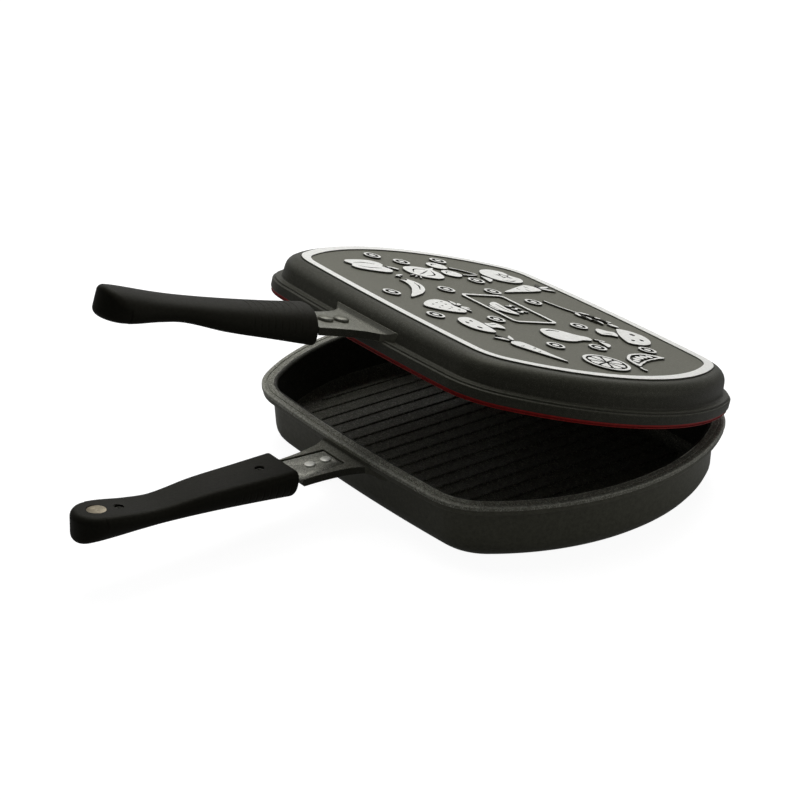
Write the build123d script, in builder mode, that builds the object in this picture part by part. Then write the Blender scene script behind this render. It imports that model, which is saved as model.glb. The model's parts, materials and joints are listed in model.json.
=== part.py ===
"""Double sided flip pan: two cast pans on one back hinge, each with a riveted handle.

Millimetres. X runs along the pans' long sides, -Y points to the handles, +Z is up.
The origin is on the surface that the pan stands on, under the middle of the bottom pan.

Both pans are drawn in a "half frame" of their own. Its origin is on the parting plane between
the two rims, and its +Z points at the other pan, so one set of sizes serves both halves.
The upper half frame is turned about the hinge axis by the angle that the lid stands ajar.
"""
import os
from math import atan2, cos, degrees, hypot, radians, sin, sqrt, tan

from build123d import *

# --- plan outline shared by both pans ---------------------------------------------------------
half_length = 180.0        # rim, middle of the pan to the end
half_width = 133.7         # rim, middle of the pan to the side
end_bow = 58.4             # how far each end arc bulges over the pan's full width
side_bow = 9.4             # how far each side arc bulges over the pan's full length
corner_radius = 53.7

# --- heights ----------------------------------------------------------------------------------
bottom_height = 47.0       # standing surface to the bottom pan's rim
rim_gap = 3.2              # between the two rims when closed, filled by the gasket
lid_height = 28.0          # lid's rim to the top of its border ring
base_thickness = 5.0
lid_thickness = 4.2

# --- rim, wall and base -----------------------------------------------------------------------
flange_height = 7.2        # outer band of the rim
bead_height = 3.2          # full-width upper part of that band
bead_step = 0.9            # how far the band steps in below the bead
rim_width = 9.6            # flat top of the rim
rim_groove_inset = 3.7     # shallow groove that runs round the rim
rim_groove_width = 1.1
rim_groove_depth = 0.7
rim_round = 2.6            # rim's inner edge
wall_inset = 8.5           # wall's outer face, inside the rim outline
wall_thickness = 3.8
wall_draft = 3.0           # degrees
base_round = 13.4
floor_round = 9.0

# --- griddle ribs -----------------------------------------------------------------------------
rib_pitch = 15.1
rib_width = 3.6
rib_height = 1.9
rib_draft = 12.0           # degrees
rib_wall_gap = 3.0         # rib's end to the foot of the inner wall

# --- lid's outside ----------------------------------------------------------------------------
lid_ledge_inset = 1.7      # narrow step on top of the lid's flange
lid_ledge_height = 1.6
lid_wall_inset = 6.6
lid_wall_draft = 5.0       # degrees
shoulder_round = 10.0
ceiling_round = 6.0        # inside, between the lid's wall and its ceiling
ring_inset = 18.0          # border ring's outer edge, inside the rim outline
ring_width = 7.7
ring_height = 1.1
ledge_round = 1.2

# --- gasket -----------------------------------------------------------------------------------
seal_tongue_inset = 4.0
seal_tongue_width = 3.4
seal_tongue_depth = 3.2
seal_head_inset = 0.9
seal_head_width = 8.4
seal_waist = 0.8           # groove between the two lips
seal_waist_height = 0.7
seal_clearance = 0.15

# --- handle lug (half frame: z = 0 is the parting plane) ----------------------------------------
lug_top = 8.4              # parting plane down to the lug's pocket side
lug_thickness = 6.0
lug_reach = 46.3           # rim to the lug's end
lug_end_half_width = 19.5
lug_root_half_width = 35.0
lug_waist = 2.2            # how far the lug's sides are hollowed
lug_corner = 3.0
gusset_rise = 3.2
gusset_reach = 10.0
pocket_depth = 3.6
pocket_gap = 8.3           # rim to the pocket
pocket_start_half_width = 13.1
pocket_end_half_width = 17.2

# --- tang and rivets ----------------------------------------------------------------------------
tang_thickness = 2.4
tang_clearance = 0.2
tang_neck_half_width = 13.5
tang_end_half_width = 8.0
tang_end = 148.0           # along the handle
bend_gap = 1.0             # grip's pan end back to the tang's bend
slot_clearance = 0.1
slot_end_gap = 1.0         # slot's blind end beyond the tang's tip
rivet_radius = 2.4
rivet_spacing = 13.7
rivet_gap = 15.1           # rim to the inner rivet
rivet_head_radius = 5.9
rivet_head_height = 3.2
rivet_tail_radius = 4.0
rivet_tail_height = 2.0
hole_clearance = 0.05

# --- grip (handle frame: starts where the lug ends and climbs by handle_rise) -------------------
handle_rise = 3.2          # degrees
handle_gap = 44.3          # rim to the handle frame's origin
lower_grip_start = 6.4     # pan end of each grip, along the handle
upper_grip_start = 3.8
lower_tip = 158.4          # middle of each grip's round end, along the handle
upper_tip = 154.4
magnet_at = 158.0          # middle of the magnet, along the handle
tip_radius = 18.0
face_gap = 0.15            # each grip face to the parting plane
grip_edge_round = 5.0
# each row: place along the handle, half width, dip of the inner face, depth of the back
grip_sections = (
    (min(lower_grip_start, upper_grip_start), 21.9, face_gap, 25.8),
    (38.0, 20.4, 1.3, 23.2),
    (76.0, 18.5, 2.4, 21.2),
    (110.0, 16.5, 5.3, 20.2),
    (130.0, 17.6, 4.1, 20.4),
    (150.0, 18.8, face_gap + 1.2, 21.4),
    (164.0, 18.5, face_gap, 21.9),
    (max(lower_tip, upper_tip) + tip_radius + 2.0, tip_radius, face_gap, 20.9),
)
groove_count = 9
groove_pitch = 5.6
groove_first = 13.0
groove_width = 1.1
groove_depth = 0.5
groove_skirt = 7.0         # grooves stop this far below the meeting plane

# --- grip screws and magnet ----------------------------------------------------------------------
screw_places = (27.0, 140.5)
screw_head_radius = 3.3
screw_head_height = 2.2
screw_sink = 1.6           # screw head below the grip's face
screw_radius = 1.7
screw_beyond_tang = 1.6
screw_slot_width = 0.8
screw_slot_depth = 0.9
magnet_radius = 7.0
magnet_thickness = 3.4
magnet_sink = 0.8
magnet_screw_head_radius = 1.7
magnet_screw_radius = 1.0
magnet_screw_head_height = 1.0
magnet_screw_length = 8.0

# --- hinge ----------------------------------------------------------------------------------------
hinge_gap = 8.4            # rim to the hinge axis
hinge_drop = 0.6           # hinge axis below the bottom pan's rim
lid_ajar = 16.44           # degrees that the lid stands open
hinge_spacing = 124.0      # between the two hinges
knuckle_radius = 7.2
knuckle_width = 14.0
ear_thickness = 7.0
ear_side_gap = 0.3
ear_root_inset = 7.7       # bottom pan's ears grow out of its wall, inside the rim outline
arm_root_inset = 4.2       # lid's arms grow out of its flange
ear_drop = 16.0            # bottom pan's ear: parting plane down to the middle of its root
ear_root_radius = 3.0
arm_gap = 0.3              # lid's arm: rim to the arm's near face
arm_height = 6.5
arm_heel = 5.0             # slope from the knuckle up to the arm's far face
pin_radius = 2.5
pin_running_clearance = 0.06
pin_head_radius = 4.2
pin_head_height = 2.0
clip_radius = 4.4
clip_thickness = 1.4
pin_proud = 0.8            # pin's end beyond the clip

# --- values worked out from the above -------------------------------------------------------------
mid_height = bottom_height + rim_gap / 2
rim_level = -rim_gap / 2                       # both rims, in either half frame
end_radius = (half_width**2 + end_bow**2) / (2 * end_bow)
side_radius = (half_length**2 + side_bow**2) / (2 * side_bow)
end_centre = half_length - end_radius
side_centre = half_width - side_radius
cavity_inset = rim_width + rim_round
lug_end = half_width + lug_reach
pocket_start = half_width + pocket_gap
rivet_first = half_width + rivet_gap
handle_start = half_width + handle_gap
hinge_y = half_width + hinge_gap
hinge_z = bottom_height - hinge_drop
ear_root = half_width - ear_root_inset
arm_root = half_width - arm_root_inset


def corner_centre():
    """Middle of the corner arc that is tangent to the end arc and to the side arc."""
    to_end, to_side = end_radius - corner_radius, side_radius - corner_radius
    span = hypot(end_centre, side_centre)
    along = (to_end**2 - to_side**2 + span**2) / (2 * span)
    across = sqrt(to_end**2 - along**2)
    step_x, step_y = -end_centre / span, side_centre / span
    return end_centre + step_x * along - step_y * across, step_y * along + step_x * across


corner_x, corner_y = corner_centre()
end_sweep = degrees(atan2(corner_y, corner_x - end_centre))
corner_stop = degrees(atan2(corner_y - side_centre, corner_x))


def pan_outline(inset, mode=Mode.ADD):
    """Draw the pans' plan outline, moved inward by inset, in the sketch being built."""
    with BuildLine() as outline:
        for side in (0, 180):
            turn = 1 if side == 0 else -1
            CenterArc((turn * end_centre, 0), end_radius - inset, side - end_sweep, 2 * end_sweep)
            CenterArc((turn * corner_x, turn * corner_y), corner_radius - inset,
                      side + end_sweep, corner_stop - end_sweep)
            CenterArc((0, turn * side_centre), side_radius - inset,
                      side + corner_stop, 180 - 2 * corner_stop)
            CenterArc((-turn * corner_x, turn * corner_y), corner_radius - inset,
                      side + 180 - corner_stop, corner_stop - end_sweep)
    make_face(outline.edges(), mode=mode)


def side_y(x, inset):
    """Distance from the pan's middle to its side arc at x, moved inward by inset."""
    return side_centre + sqrt((side_radius - inset)**2 - x**2)


def opened(y, z):
    """Where the lid's tilt about the hinge takes a point given in the closed pose."""
    turn = radians(lid_ajar)
    dy, dz = y - hinge_y, z - hinge_z
    return (0, hinge_y + dy * cos(turn) + dz * sin(turn), hinge_z - dy * sin(turn) + dz * cos(turn))


def half_frame(lid):
    """Frame on the parting plane with +Z towards the other pan."""
    if not lid:
        return Plane(origin=(0, 0, mid_height), x_dir=(1, 0, 0), z_dir=(0, 0, 1))
    turn = radians(lid_ajar)
    return Plane(origin=opened(0, mid_height), x_dir=(-1, 0, 0), z_dir=(0, -sin(turn), -cos(turn)))


def handle_frame(lid):
    """Frame whose XY plane is where the two grips meet, with -Y out along the handle."""
    rise = radians(handle_rise)
    if not lid:
        return Plane(origin=(0, -handle_start, mid_height), x_dir=(1, 0, 0),
                     z_dir=(0, sin(rise), cos(rise)))
    turn = radians(lid_ajar) + rise
    return Plane(origin=opened(-handle_start, mid_height), x_dir=(-1, 0, 0),
                 z_dir=(0, -sin(turn), -cos(turn)))


def across(frame, y):
    """Plane square to the frame's Y axis: sketch X is the frame's X, sketch Y its Z."""
    return Plane(origin=frame.from_local_coords((0, y, 0)), x_dir=frame.x_dir, z_dir=-frame.y_dir)


def along(frame, x):
    """Plane square to the frame's X axis: sketch X is the frame's Y, sketch Y its Z."""
    return Plane(origin=frame.from_local_coords((x, 0, 0)), x_dir=frame.y_dir, z_dir=frame.x_dir)


def grip_at(place):
    """Half width, face dip and back depth of the grip at a place along the handle."""
    for near, far in zip(grip_sections, grip_sections[1:]):
        if place <= far[0]:
            share = (place - near[0]) / (far[0] - near[0])
            return [a + (b - a) * share for a, b in zip(near[1:], far[1:])]


def grip_outline(half, dip, depth, shrink=0.0, mode=Mode.ADD):
    """Draw one cross-section of the grip: a flat face with soft edges and an arched back."""
    edge = grip_edge_round
    half, depth = half - shrink, depth - shrink
    with BuildLine() as section:
        Line((-half + edge, -dip), (half - edge, -dip))
        CenterArc((half - edge, -dip - edge), edge, 0, 90)
        CenterArc((-half + edge, -dip - edge), edge, 90, 90)
        Spline((half, -dip - edge), (0, -depth), (-half, -dip - edge), tangents=((0, -1), (0, 1)))
    make_face(section.edges(), mode=mode)


def lug(frame):
    """Cast lug with a pocket for the tang, a gusset flush with its sides, and two rivet holes."""
    root = side_y(0, wall_inset + wall_thickness / 2)
    with BuildSketch(frame.offset(-lug_top)) as plate:
        with BuildLine():
            Line((-lug_end_half_width, -lug_end), (lug_end_half_width, -lug_end))
            for side in (-1, 1):
                middle = (lug_end_half_width + lug_root_half_width) / 2 - lug_waist
                ThreePointArc((side * lug_end_half_width, -lug_end),
                              (side * middle, -(lug_end + root) / 2),
                              (side * lug_root_half_width, -root))
            Line((-lug_root_half_width, -root), (lug_root_half_width, -root))
        make_face()
    extrude(plate.sketch, amount=-lug_thickness)
    foot = lug_top + lug_thickness
    with BuildSketch(along(frame, -lug_root_half_width)) as gusset:
        with BuildLine():
            Polyline((-root, -foot), (-root, -foot - gusset_rise),
                     (-root - gusset_reach * 0.3, -foot - gusset_rise),
                     (-root - gusset_reach, -foot), close=True)
        make_face()
    wedge = extrude(gusset.sketch, amount=2 * lug_root_half_width, mode=Mode.PRIVATE)
    add(wedge & extrude(plate.sketch, amount=-lug_thickness - gusset_rise, mode=Mode.PRIVATE))
    with BuildSketch(frame.offset(-lug_top)) as pocket:
        with BuildLine():
            Polyline((-pocket_start_half_width, -pocket_start),
                     (pocket_start_half_width, -pocket_start),
                     (pocket_end_half_width, -lug_end - 1),
                     (-pocket_end_half_width, -lug_end - 1), close=True)
        make_face()
    extrude(pocket.sketch, amount=-pocket_depth, mode=Mode.SUBTRACT)
    with BuildSketch(frame.offset(-lug_top)) as holes:
        with Locations((0, -rivet_first), (0, -rivet_first - rivet_spacing)):
            Circle(rivet_radius + hole_clearance)
    extrude(holes.sketch, amount=-lug_thickness - gusset_rise - 1, mode=Mode.SUBTRACT)


def cut_cross(frame, place, level):
    """Cut a cross recess into a screw head whose top lies at a level of the frame."""
    with BuildSketch(frame.offset(level)) as cross:
        with Locations((0, -place)):
            Rectangle(screw_head_radius * 1.1, screw_slot_width)
            Rectangle(screw_slot_width, screw_head_radius * 1.1)
    extrude(cross.sketch, amount=-screw_slot_depth, mode=Mode.SUBTRACT)


lower = half_frame(lid=False)
upper = half_frame(lid=True)
os.makedirs("parts", exist_ok=True)

# --- bottom pan -----------------------------------------------------------------------------------
wall_top = flange_height - 1.0
rib_inset = cavity_inset + floor_round + rib_wall_gap
rib_count = 2 * int((half_length - rib_inset) / rib_pitch) + 1
ear_places = [hinge + side * (knuckle_width / 2 + ear_side_gap + ear_thickness / 2)
              for hinge in (-hinge_spacing / 2, hinge_spacing / 2) for side in (-1, 1)]

with BuildPart() as bottom_pan:
    with BuildSketch(lower.offset(rim_level - wall_top)):
        pan_outline(wall_inset)
    extrude(amount=-(bottom_height - wall_top), taper=wall_draft)
    fillet(bottom_pan.faces().sort_by(Axis.Z)[0].edges(), base_round)
    with BuildSketch(lower.offset(rim_level)):
        pan_outline(0)
    extrude(amount=-bead_height)
    with BuildSketch(lower.offset(rim_level)):
        pan_outline(bead_step)
    extrude(amount=-flange_height)
    lug(lower)
    with BuildSketch(lower.offset(rim_level)):
        pan_outline(cavity_inset)
    extrude(amount=-(bottom_height - base_thickness), taper=wall_draft, mode=Mode.SUBTRACT)
    floor = bottom_pan.faces().filter_by(Plane.XY).filter_by_position(
        Axis.Z, base_thickness - 0.1, base_thickness + 0.1)
    fillet(floor.edges(), floor_round)
    fillet(bottom_pan.faces().sort_by(Axis.Z)[-1].inner_wires()[0].edges(), rim_round)
    with BuildSketch(lower.offset(rim_level)):
        pan_outline(rim_groove_inset)
        pan_outline(rim_groove_inset + rim_groove_width, mode=Mode.SUBTRACT)
    extrude(amount=-rim_groove_depth, mode=Mode.SUBTRACT)
    with BuildSketch(Plane.XY.offset(base_thickness)):
        with GridLocations(rib_pitch, 0, rib_count, 1):
            Rectangle(rib_width, 2 * half_width)
        pan_outline(rib_inset, mode=Mode.INTERSECT)
    extrude(amount=rib_height, taper=rib_draft)
    for place in ear_places:
        with BuildSketch(along(lower, place)):
            with Locations((hinge_y, hinge_z - mid_height)):
                Circle(knuckle_radius)
            with Locations((ear_root, -ear_drop)):
                Circle(ear_root_radius)
            make_hull()
            with Locations((hinge_y, hinge_z - mid_height)):
                Circle(pin_radius + hole_clearance, mode=Mode.SUBTRACT)
        extrude(amount=ear_thickness / 2, both=True)
bottom_pan.part.label = "bottom_pan"
export_step(bottom_pan.part, "parts/bottom_pan.step")

# --- lid pan --------------------------------------------------------------------------------------
towards_bottom = Axis(upper.origin, upper.z_dir)
panel_level = rim_level - lid_height + ring_height
cavity_depth = lid_height - ring_height - lid_thickness
ledge_level = rim_level - flange_height - lid_ledge_height

with BuildPart() as lid_pan:
    with BuildSketch(upper.offset(rim_level - flange_height)):
        pan_outline(lid_wall_inset)
    extrude(amount=-(lid_height - ring_height - flange_height), taper=lid_wall_draft)
    fillet(lid_pan.faces().sort_by(towards_bottom)[0].edges(), shoulder_round)
    with BuildSketch(upper.offset(rim_level)):
        pan_outline(0)
    extrude(amount=-flange_height)
    with BuildSketch(upper.offset(rim_level - flange_height)):
        pan_outline(lid_ledge_inset)
    extrude(amount=-lid_ledge_height)
    ledge = lid_pan.faces().filter_by_position(towards_bottom, ledge_level - 0.05,
                                               ledge_level + 0.05)
    fillet(ledge[0].inner_wires()[0].edges(), ledge_round)
    lug(upper)
    with BuildSketch(upper.offset(panel_level)):
        pan_outline(ring_inset)
        pan_outline(ring_inset + ring_width, mode=Mode.SUBTRACT)
    extrude(amount=-ring_height)
    with BuildSketch(upper.offset(rim_level)):
        pan_outline(cavity_inset)
    extrude(amount=-cavity_depth, taper=lid_wall_draft, mode=Mode.SUBTRACT)
    ceiling = lid_pan.faces().filter_by_position(towards_bottom, rim_level - cavity_depth - 0.1,
                                                 rim_level - cavity_depth + 0.1)
    fillet(ceiling.edges(), ceiling_round)
    fillet(lid_pan.faces().sort_by(towards_bottom)[-1].inner_wires()[0].edges(), rim_round)
    with BuildSketch(upper.offset(rim_level)):
        pan_outline(seal_tongue_inset)
        pan_outline(seal_tongue_inset + seal_tongue_width, mode=Mode.SUBTRACT)
    extrude(amount=-seal_tongue_depth - seal_clearance, mode=Mode.SUBTRACT)
    for place in (-hinge_spacing / 2, hinge_spacing / 2):
        with BuildSketch(along(upper, place)):
            with BuildLine():
                Polyline((arm_root, rim_level - arm_gap), (hinge_y, rim_level - arm_gap),
                         (hinge_y + arm_heel, rim_level - 2 * arm_gap),
                         (hinge_y, rim_level - arm_gap - arm_height),
                         (arm_root, rim_level - arm_gap - arm_height), close=True)
            make_face()
            with Locations((hinge_y, mid_height - hinge_z)):
                Circle(knuckle_radius)
                Circle(pin_radius + pin_running_clearance, mode=Mode.SUBTRACT)
        extrude(amount=knuckle_width / 2, both=True)
lid_pan.part.label = "lid_pan"
export_step(lid_pan.part, "parts/lid_pan.step")

# --- gasket ---------------------------------------------------------------------------------------
head_height = rim_gap - seal_clearance

with BuildPart() as gasket:
    with BuildSketch(upper.offset(rim_level)):
        pan_outline(seal_tongue_inset + seal_clearance)
        pan_outline(seal_tongue_inset + seal_tongue_width - seal_clearance, mode=Mode.SUBTRACT)
    extrude(amount=-seal_tongue_depth)
    with BuildSketch(upper.offset(rim_level)):
        pan_outline(seal_head_inset)
        pan_outline(seal_head_inset + seal_head_width, mode=Mode.SUBTRACT)
    extrude(amount=head_height)
    with BuildSketch(upper.offset(rim_level + (head_height - seal_waist_height) / 2)):
        pan_outline(0)
        pan_outline(seal_head_inset + seal_waist, mode=Mode.SUBTRACT)
    extrude(amount=seal_waist_height, mode=Mode.SUBTRACT)
gasket.part.label = "gasket"
export_step(gasket.part, "parts/gasket.step")

# --- handles --------------------------------------------------------------------------------------
tang_top = lug_top + pocket_depth - tang_thickness


def make_tang(half, handle, side, turn, tang_bend, level):
    """Steel strip that lies flat in the lug's pocket, bends by turn and runs along the handle."""
    neck = tang_neck_half_width
    start = pocket_start_half_width - tang_clearance
    end = pocket_end_half_width - tang_clearance
    first = pocket_start + tang_clearance
    bend = handle_start + tang_bend
    tip = handle_start + tang_end
    tip_top = (tip - bend) * tan(turn) - tang_top
    with BuildPart() as tang:
        with BuildSketch(along(half, -lug_root_half_width)):
            with BuildLine():
                Polyline((-first, -tang_top), (-bend, -tang_top), (-tip, tip_top),
                         (-tip, tip_top - tang_thickness / cos(turn)),
                         (-bend - tang_thickness * tan(turn / 2), -tang_top - tang_thickness),
                         (-first, -tang_top - tang_thickness), close=True)
            make_face()
        extrude(amount=2 * lug_root_half_width)
        with BuildSketch(half):
            with BuildLine():
                Polyline((-start, -first), (start, -first), (end, -lug_end), (neck, -bend),
                         (tang_end_half_width, -tip), (-tang_end_half_width, -tip),
                         (-neck, -bend), (-end, -lug_end), close=True)
            make_face()
        extrude(amount=-lug_root_half_width, mode=Mode.INTERSECT)
        with BuildSketch(half.offset(-lug_top)):
            with Locations((0, -rivet_first), (0, -rivet_first - rivet_spacing)):
                Circle(rivet_radius + hole_clearance)
        extrude(amount=-pocket_depth, mode=Mode.SUBTRACT)
        with BuildSketch(handle.offset(-level)):
            with Locations(*[(0, -place) for place in screw_places]):
                Circle(screw_radius + hole_clearance)
        extrude(amount=-2 * tang_thickness, both=True, mode=Mode.SUBTRACT)
    tang.part.label = f"{side}_tang"
    export_step(tang.part, f"parts/{side}_tang.step")


def make_rivet(half, side, order, place):
    """Rivet through tang and lug: domed head outside, small upset tail on the tang."""
    with BuildPart() as rivet:
        with BuildSketch(half.offset(-lug_top - lug_thickness)):
            with Locations((0, -place)):
                Circle(rivet_head_radius)
        extrude(amount=-rivet_head_height)
        fillet(rivet.faces().sort_by(Axis(half.origin, half.z_dir))[0].edges(),
               rivet_head_height * 0.85)
        with BuildSketch(half.offset(-lug_top - lug_thickness)):
            with Locations((0, -place)):
                Circle(rivet_radius)
        extrude(amount=lug_top + lug_thickness - tang_top)
        with BuildSketch(half.offset(-tang_top)):
            with Locations((0, -place)):
                Circle(rivet_tail_radius)
        extrude(amount=rivet_tail_height)
        fillet(rivet.faces().sort_by(Axis(half.origin, half.z_dir))[-1].edges(),
               rivet_tail_height * 0.7)
    rivet.part.label = f"{side}_rivet_{order}"
    export_step(rivet.part, f"parts/{side}_rivet_{order}.step")


def make_grip(handle, side, start, tip, level):
    """Moulded grip: arched back, softly dished inner face, slot for the tang, grip grooves."""
    pocket_floor = face_gap + magnet_sink + magnet_thickness
    with BuildPart() as grip:
        for place, half, dip, depth in grip_sections:
            with BuildSketch(across(handle, -place)):
                grip_outline(half, dip, depth)
        loft()
        with BuildSketch(handle):
            with Locations((0, -start)):
                Rectangle(3 * tip_radius, tip - start, align=(Align.CENTER, Align.MAX))
            with Locations((0, -tip)):
                Circle(tip_radius)
        extrude(amount=-3 * tip_radius, mode=Mode.INTERSECT)
        for step in range(groove_count):
            place = groove_first + step * groove_pitch
            half, dip, depth = grip_at(place)
            with BuildSketch(across(handle, -place)):
                with Locations((0, -groove_skirt)):
                    Rectangle(3 * half, 2 * depth, align=(Align.CENTER, Align.MAX))
                grip_outline(half, dip, depth, shrink=groove_depth, mode=Mode.SUBTRACT)
            extrude(amount=groove_width, mode=Mode.SUBTRACT)
        with BuildSketch(handle.offset(slot_clearance - level)):
            with BuildLine():
                wide = tang_neck_half_width + slot_clearance
                slim = tang_end_half_width + slot_clearance
                Polyline((-wide, -start + bend_gap), (wide, -start + bend_gap),
                         (slim, -tang_end - slot_end_gap), (-slim, -tang_end - slot_end_gap),
                         close=True)
            make_face()
        extrude(amount=-tang_thickness - 2 * slot_clearance, mode=Mode.SUBTRACT)
        for place in screw_places:
            head = grip_at(place)[1] + screw_sink + screw_head_height
            with BuildSketch(handle):
                with Locations((0, -place)):
                    Circle(screw_head_radius + slot_clearance)
            extrude(amount=-head, mode=Mode.SUBTRACT)
            with BuildSketch(handle):
                with Locations((0, -place)):
                    Circle(screw_radius + hole_clearance)
            extrude(amount=-level - tang_thickness - screw_beyond_tang - slot_clearance,
                    mode=Mode.SUBTRACT)
        with BuildSketch(handle):
            with Locations((0, -magnet_at)):
                Circle(magnet_radius + hole_clearance)
        extrude(amount=-pocket_floor, mode=Mode.SUBTRACT)
        with BuildSketch(handle):
            with Locations((0, -magnet_at)):
                Circle(magnet_screw_radius + hole_clearance)
        extrude(amount=-face_gap - magnet_sink - magnet_screw_length - slot_clearance,
                mode=Mode.SUBTRACT)
    grip.part.label = f"{side}_grip"
    export_step(grip.part, f"parts/{side}_grip.step")


def make_grip_screw(handle, side, order, place, level):
    """Pan-head screw that goes through the tang inside the grip."""
    top = grip_at(place)[1] + screw_sink
    with BuildPart() as screw:
        with BuildSketch(handle.offset(-top)):
            with Locations((0, -place)):
                Circle(screw_head_radius)
        extrude(amount=-screw_head_height)
        with BuildSketch(handle.offset(-top)):
            with Locations((0, -place)):
                Circle(screw_radius)
        extrude(amount=-(level + tang_thickness + screw_beyond_tang - top))
        cut_cross(handle, place, -top)
    screw.part.label = f"{side}_grip_screw_{order}"
    export_step(screw.part, f"parts/{side}_grip_screw_{order}.step")


def make_magnet(handle, side):
    """Round magnet with a countersunk hole, and the screw that holds it in the grip."""
    level = -face_gap - magnet_sink
    cone = degrees(atan2(magnet_screw_head_radius - magnet_screw_radius, magnet_screw_head_height))
    with BuildPart() as magnet:
        with BuildSketch(handle.offset(level)):
            with Locations((0, -magnet_at)):
                Circle(magnet_radius)
        extrude(amount=-magnet_thickness)
        with BuildSketch(handle.offset(level)):
            with Locations((0, -magnet_at)):
                Circle(magnet_screw_head_radius + hole_clearance)
        extrude(amount=-magnet_screw_head_height, taper=cone, mode=Mode.SUBTRACT)
        with BuildSketch(handle.offset(level)):
            with Locations((0, -magnet_at)):
                Circle(magnet_screw_radius + hole_clearance)
        extrude(amount=-magnet_thickness, mode=Mode.SUBTRACT)
    magnet.part.label = f"{side}_magnet"
    export_step(magnet.part, f"parts/{side}_magnet.step")
    with BuildPart() as screw:
        with BuildSketch(handle.offset(level)):
            with Locations((0, -magnet_at)):
                Circle(magnet_screw_head_radius)
        extrude(amount=-magnet_screw_head_height, taper=cone)
        with BuildSketch(handle.offset(level)):
            with Locations((0, -magnet_at)):
                Circle(magnet_screw_radius)
        extrude(amount=-magnet_screw_length)
    screw.part.label = f"{side}_magnet_screw"
    export_step(screw.part, f"parts/{side}_magnet_screw.step")


# Both handles climb together, so the lid's tang bends the other way in its own half frame.
for is_lid, side, bend_sign, grip_start, tip in (
        (False, "lower", 1, lower_grip_start, lower_tip),
        (True, "upper", -1, upper_grip_start, upper_tip)):
    half, handle = half_frame(is_lid), handle_frame(is_lid)
    tang_bend = grip_start - bend_gap
    turn = bend_sign * radians(handle_rise)
    level = tang_top * cos(turn) + tang_bend * sin(turn)      # grips' meeting plane to the tang
    make_tang(half, handle, side, turn, tang_bend, level)
    make_rivet(half, side, "inner", rivet_first)
    make_rivet(half, side, "outer", rivet_first + rivet_spacing)
    make_grip(handle, side, grip_start, tip, level)
    make_grip_screw(handle, side, "inner", screw_places[0], level)
    make_grip_screw(handle, side, "outer", screw_places[1], level)
    make_magnet(handle, side)

# --- hinge pins and their clips -------------------------------------------------------------------
stack = knuckle_width / 2 + ear_side_gap + ear_thickness      # hinge's middle to an ear's far face
hinge_origin = (0, hinge_y, hinge_z)

for turn, side in ((-1, "left"), (1, "right")):
    centre = turn * hinge_spacing / 2
    outer = Plane(origin=(centre + turn * stack, hinge_y, hinge_z), x_dir=(0, 1, 0),
                  z_dir=(turn, 0, 0))
    inner = Plane(origin=(centre - turn * stack, hinge_y, hinge_z), x_dir=(0, 1, 0),
                  z_dir=(-turn, 0, 0))
    with BuildPart() as pin:
        with BuildSketch(outer):
            Circle(pin_head_radius)
        extrude(amount=pin_head_height)
        fillet(pin.faces().sort_by(Axis(outer.origin, outer.z_dir))[-1].edges(),
               pin_head_height * 0.4)
        with BuildSketch(outer):
            Circle(pin_radius)
        extrude(amount=-(2 * stack + clip_thickness + pin_proud))
    pin.part.label = f"hinge_pin_{side}"
    export_step(pin.part, f"parts/hinge_pin_{side}.step")
    with BuildPart() as clip:
        with BuildSketch(inner):
            Circle(clip_radius)
            Circle(pin_radius + hole_clearance, mode=Mode.SUBTRACT)
        extrude(amount=clip_thickness)
    clip.part.label = f"hinge_clip_{side}"
    export_step(clip.part, f"parts/hinge_clip_{side}.step")
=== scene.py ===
# %% [markdown]
# # Double sided flip pan
# Two shallow cast pans share one hinge at the back and close over a red gasket, so that food is
# turned by flipping the whole thing. This file dresses the solid model of the pan: the solids give
# every place and size, and each visible piece is made again here as a smooth mesh with a finish.
# All sizes below are in millimetres. Blender works in metres, so one helper converts them.

# %% Load the frame
import json
from math import asin, atan2, cos, hypot, pi, radians, sin, sqrt, tan

import bmesh
import bpy
from mathutils import Matrix, Vector


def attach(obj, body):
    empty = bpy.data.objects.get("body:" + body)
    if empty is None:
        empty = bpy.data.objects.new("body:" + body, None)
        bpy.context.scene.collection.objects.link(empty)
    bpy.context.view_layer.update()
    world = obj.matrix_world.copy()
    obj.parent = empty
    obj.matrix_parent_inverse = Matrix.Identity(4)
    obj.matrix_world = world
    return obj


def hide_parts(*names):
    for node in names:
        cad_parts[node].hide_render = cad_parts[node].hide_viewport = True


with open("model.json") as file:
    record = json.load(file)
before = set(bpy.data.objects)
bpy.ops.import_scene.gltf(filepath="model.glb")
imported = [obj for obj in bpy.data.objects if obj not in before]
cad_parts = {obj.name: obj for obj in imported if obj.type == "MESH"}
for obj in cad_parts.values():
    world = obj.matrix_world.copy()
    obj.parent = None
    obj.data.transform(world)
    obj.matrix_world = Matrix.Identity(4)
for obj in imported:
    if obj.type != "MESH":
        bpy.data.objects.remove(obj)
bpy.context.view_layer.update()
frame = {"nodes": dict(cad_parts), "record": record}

MM = 0.001

# %% [markdown]
# ## Where things are
# Both pans are the same kind of thing seen twice, so each is built in a "half frame" of its own:
# the origin lies on the parting plane between the rims and +Z points at the other pan. The upper
# half frame is the lower one turned over, and then swung open about the hinge by the angle that
# the lid stands ajar. The record knows that angle: it is how far the hinge can still close.

# %% Half frames and handle frames
hinge = frame["record"]["behaviour"]["joints"][0]
hinge_point = Vector(hinge["pos_m"])
lid_ajar = -hinge["range_deg"][0]
bottom_height = 47.0
rim_gap = 3.2
parting = bottom_height + rim_gap / 2
handle_rise = 3.2          # degrees that both handles climb
handle_start = 178.0       # handle frames begin this far from the pan's middle

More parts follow.
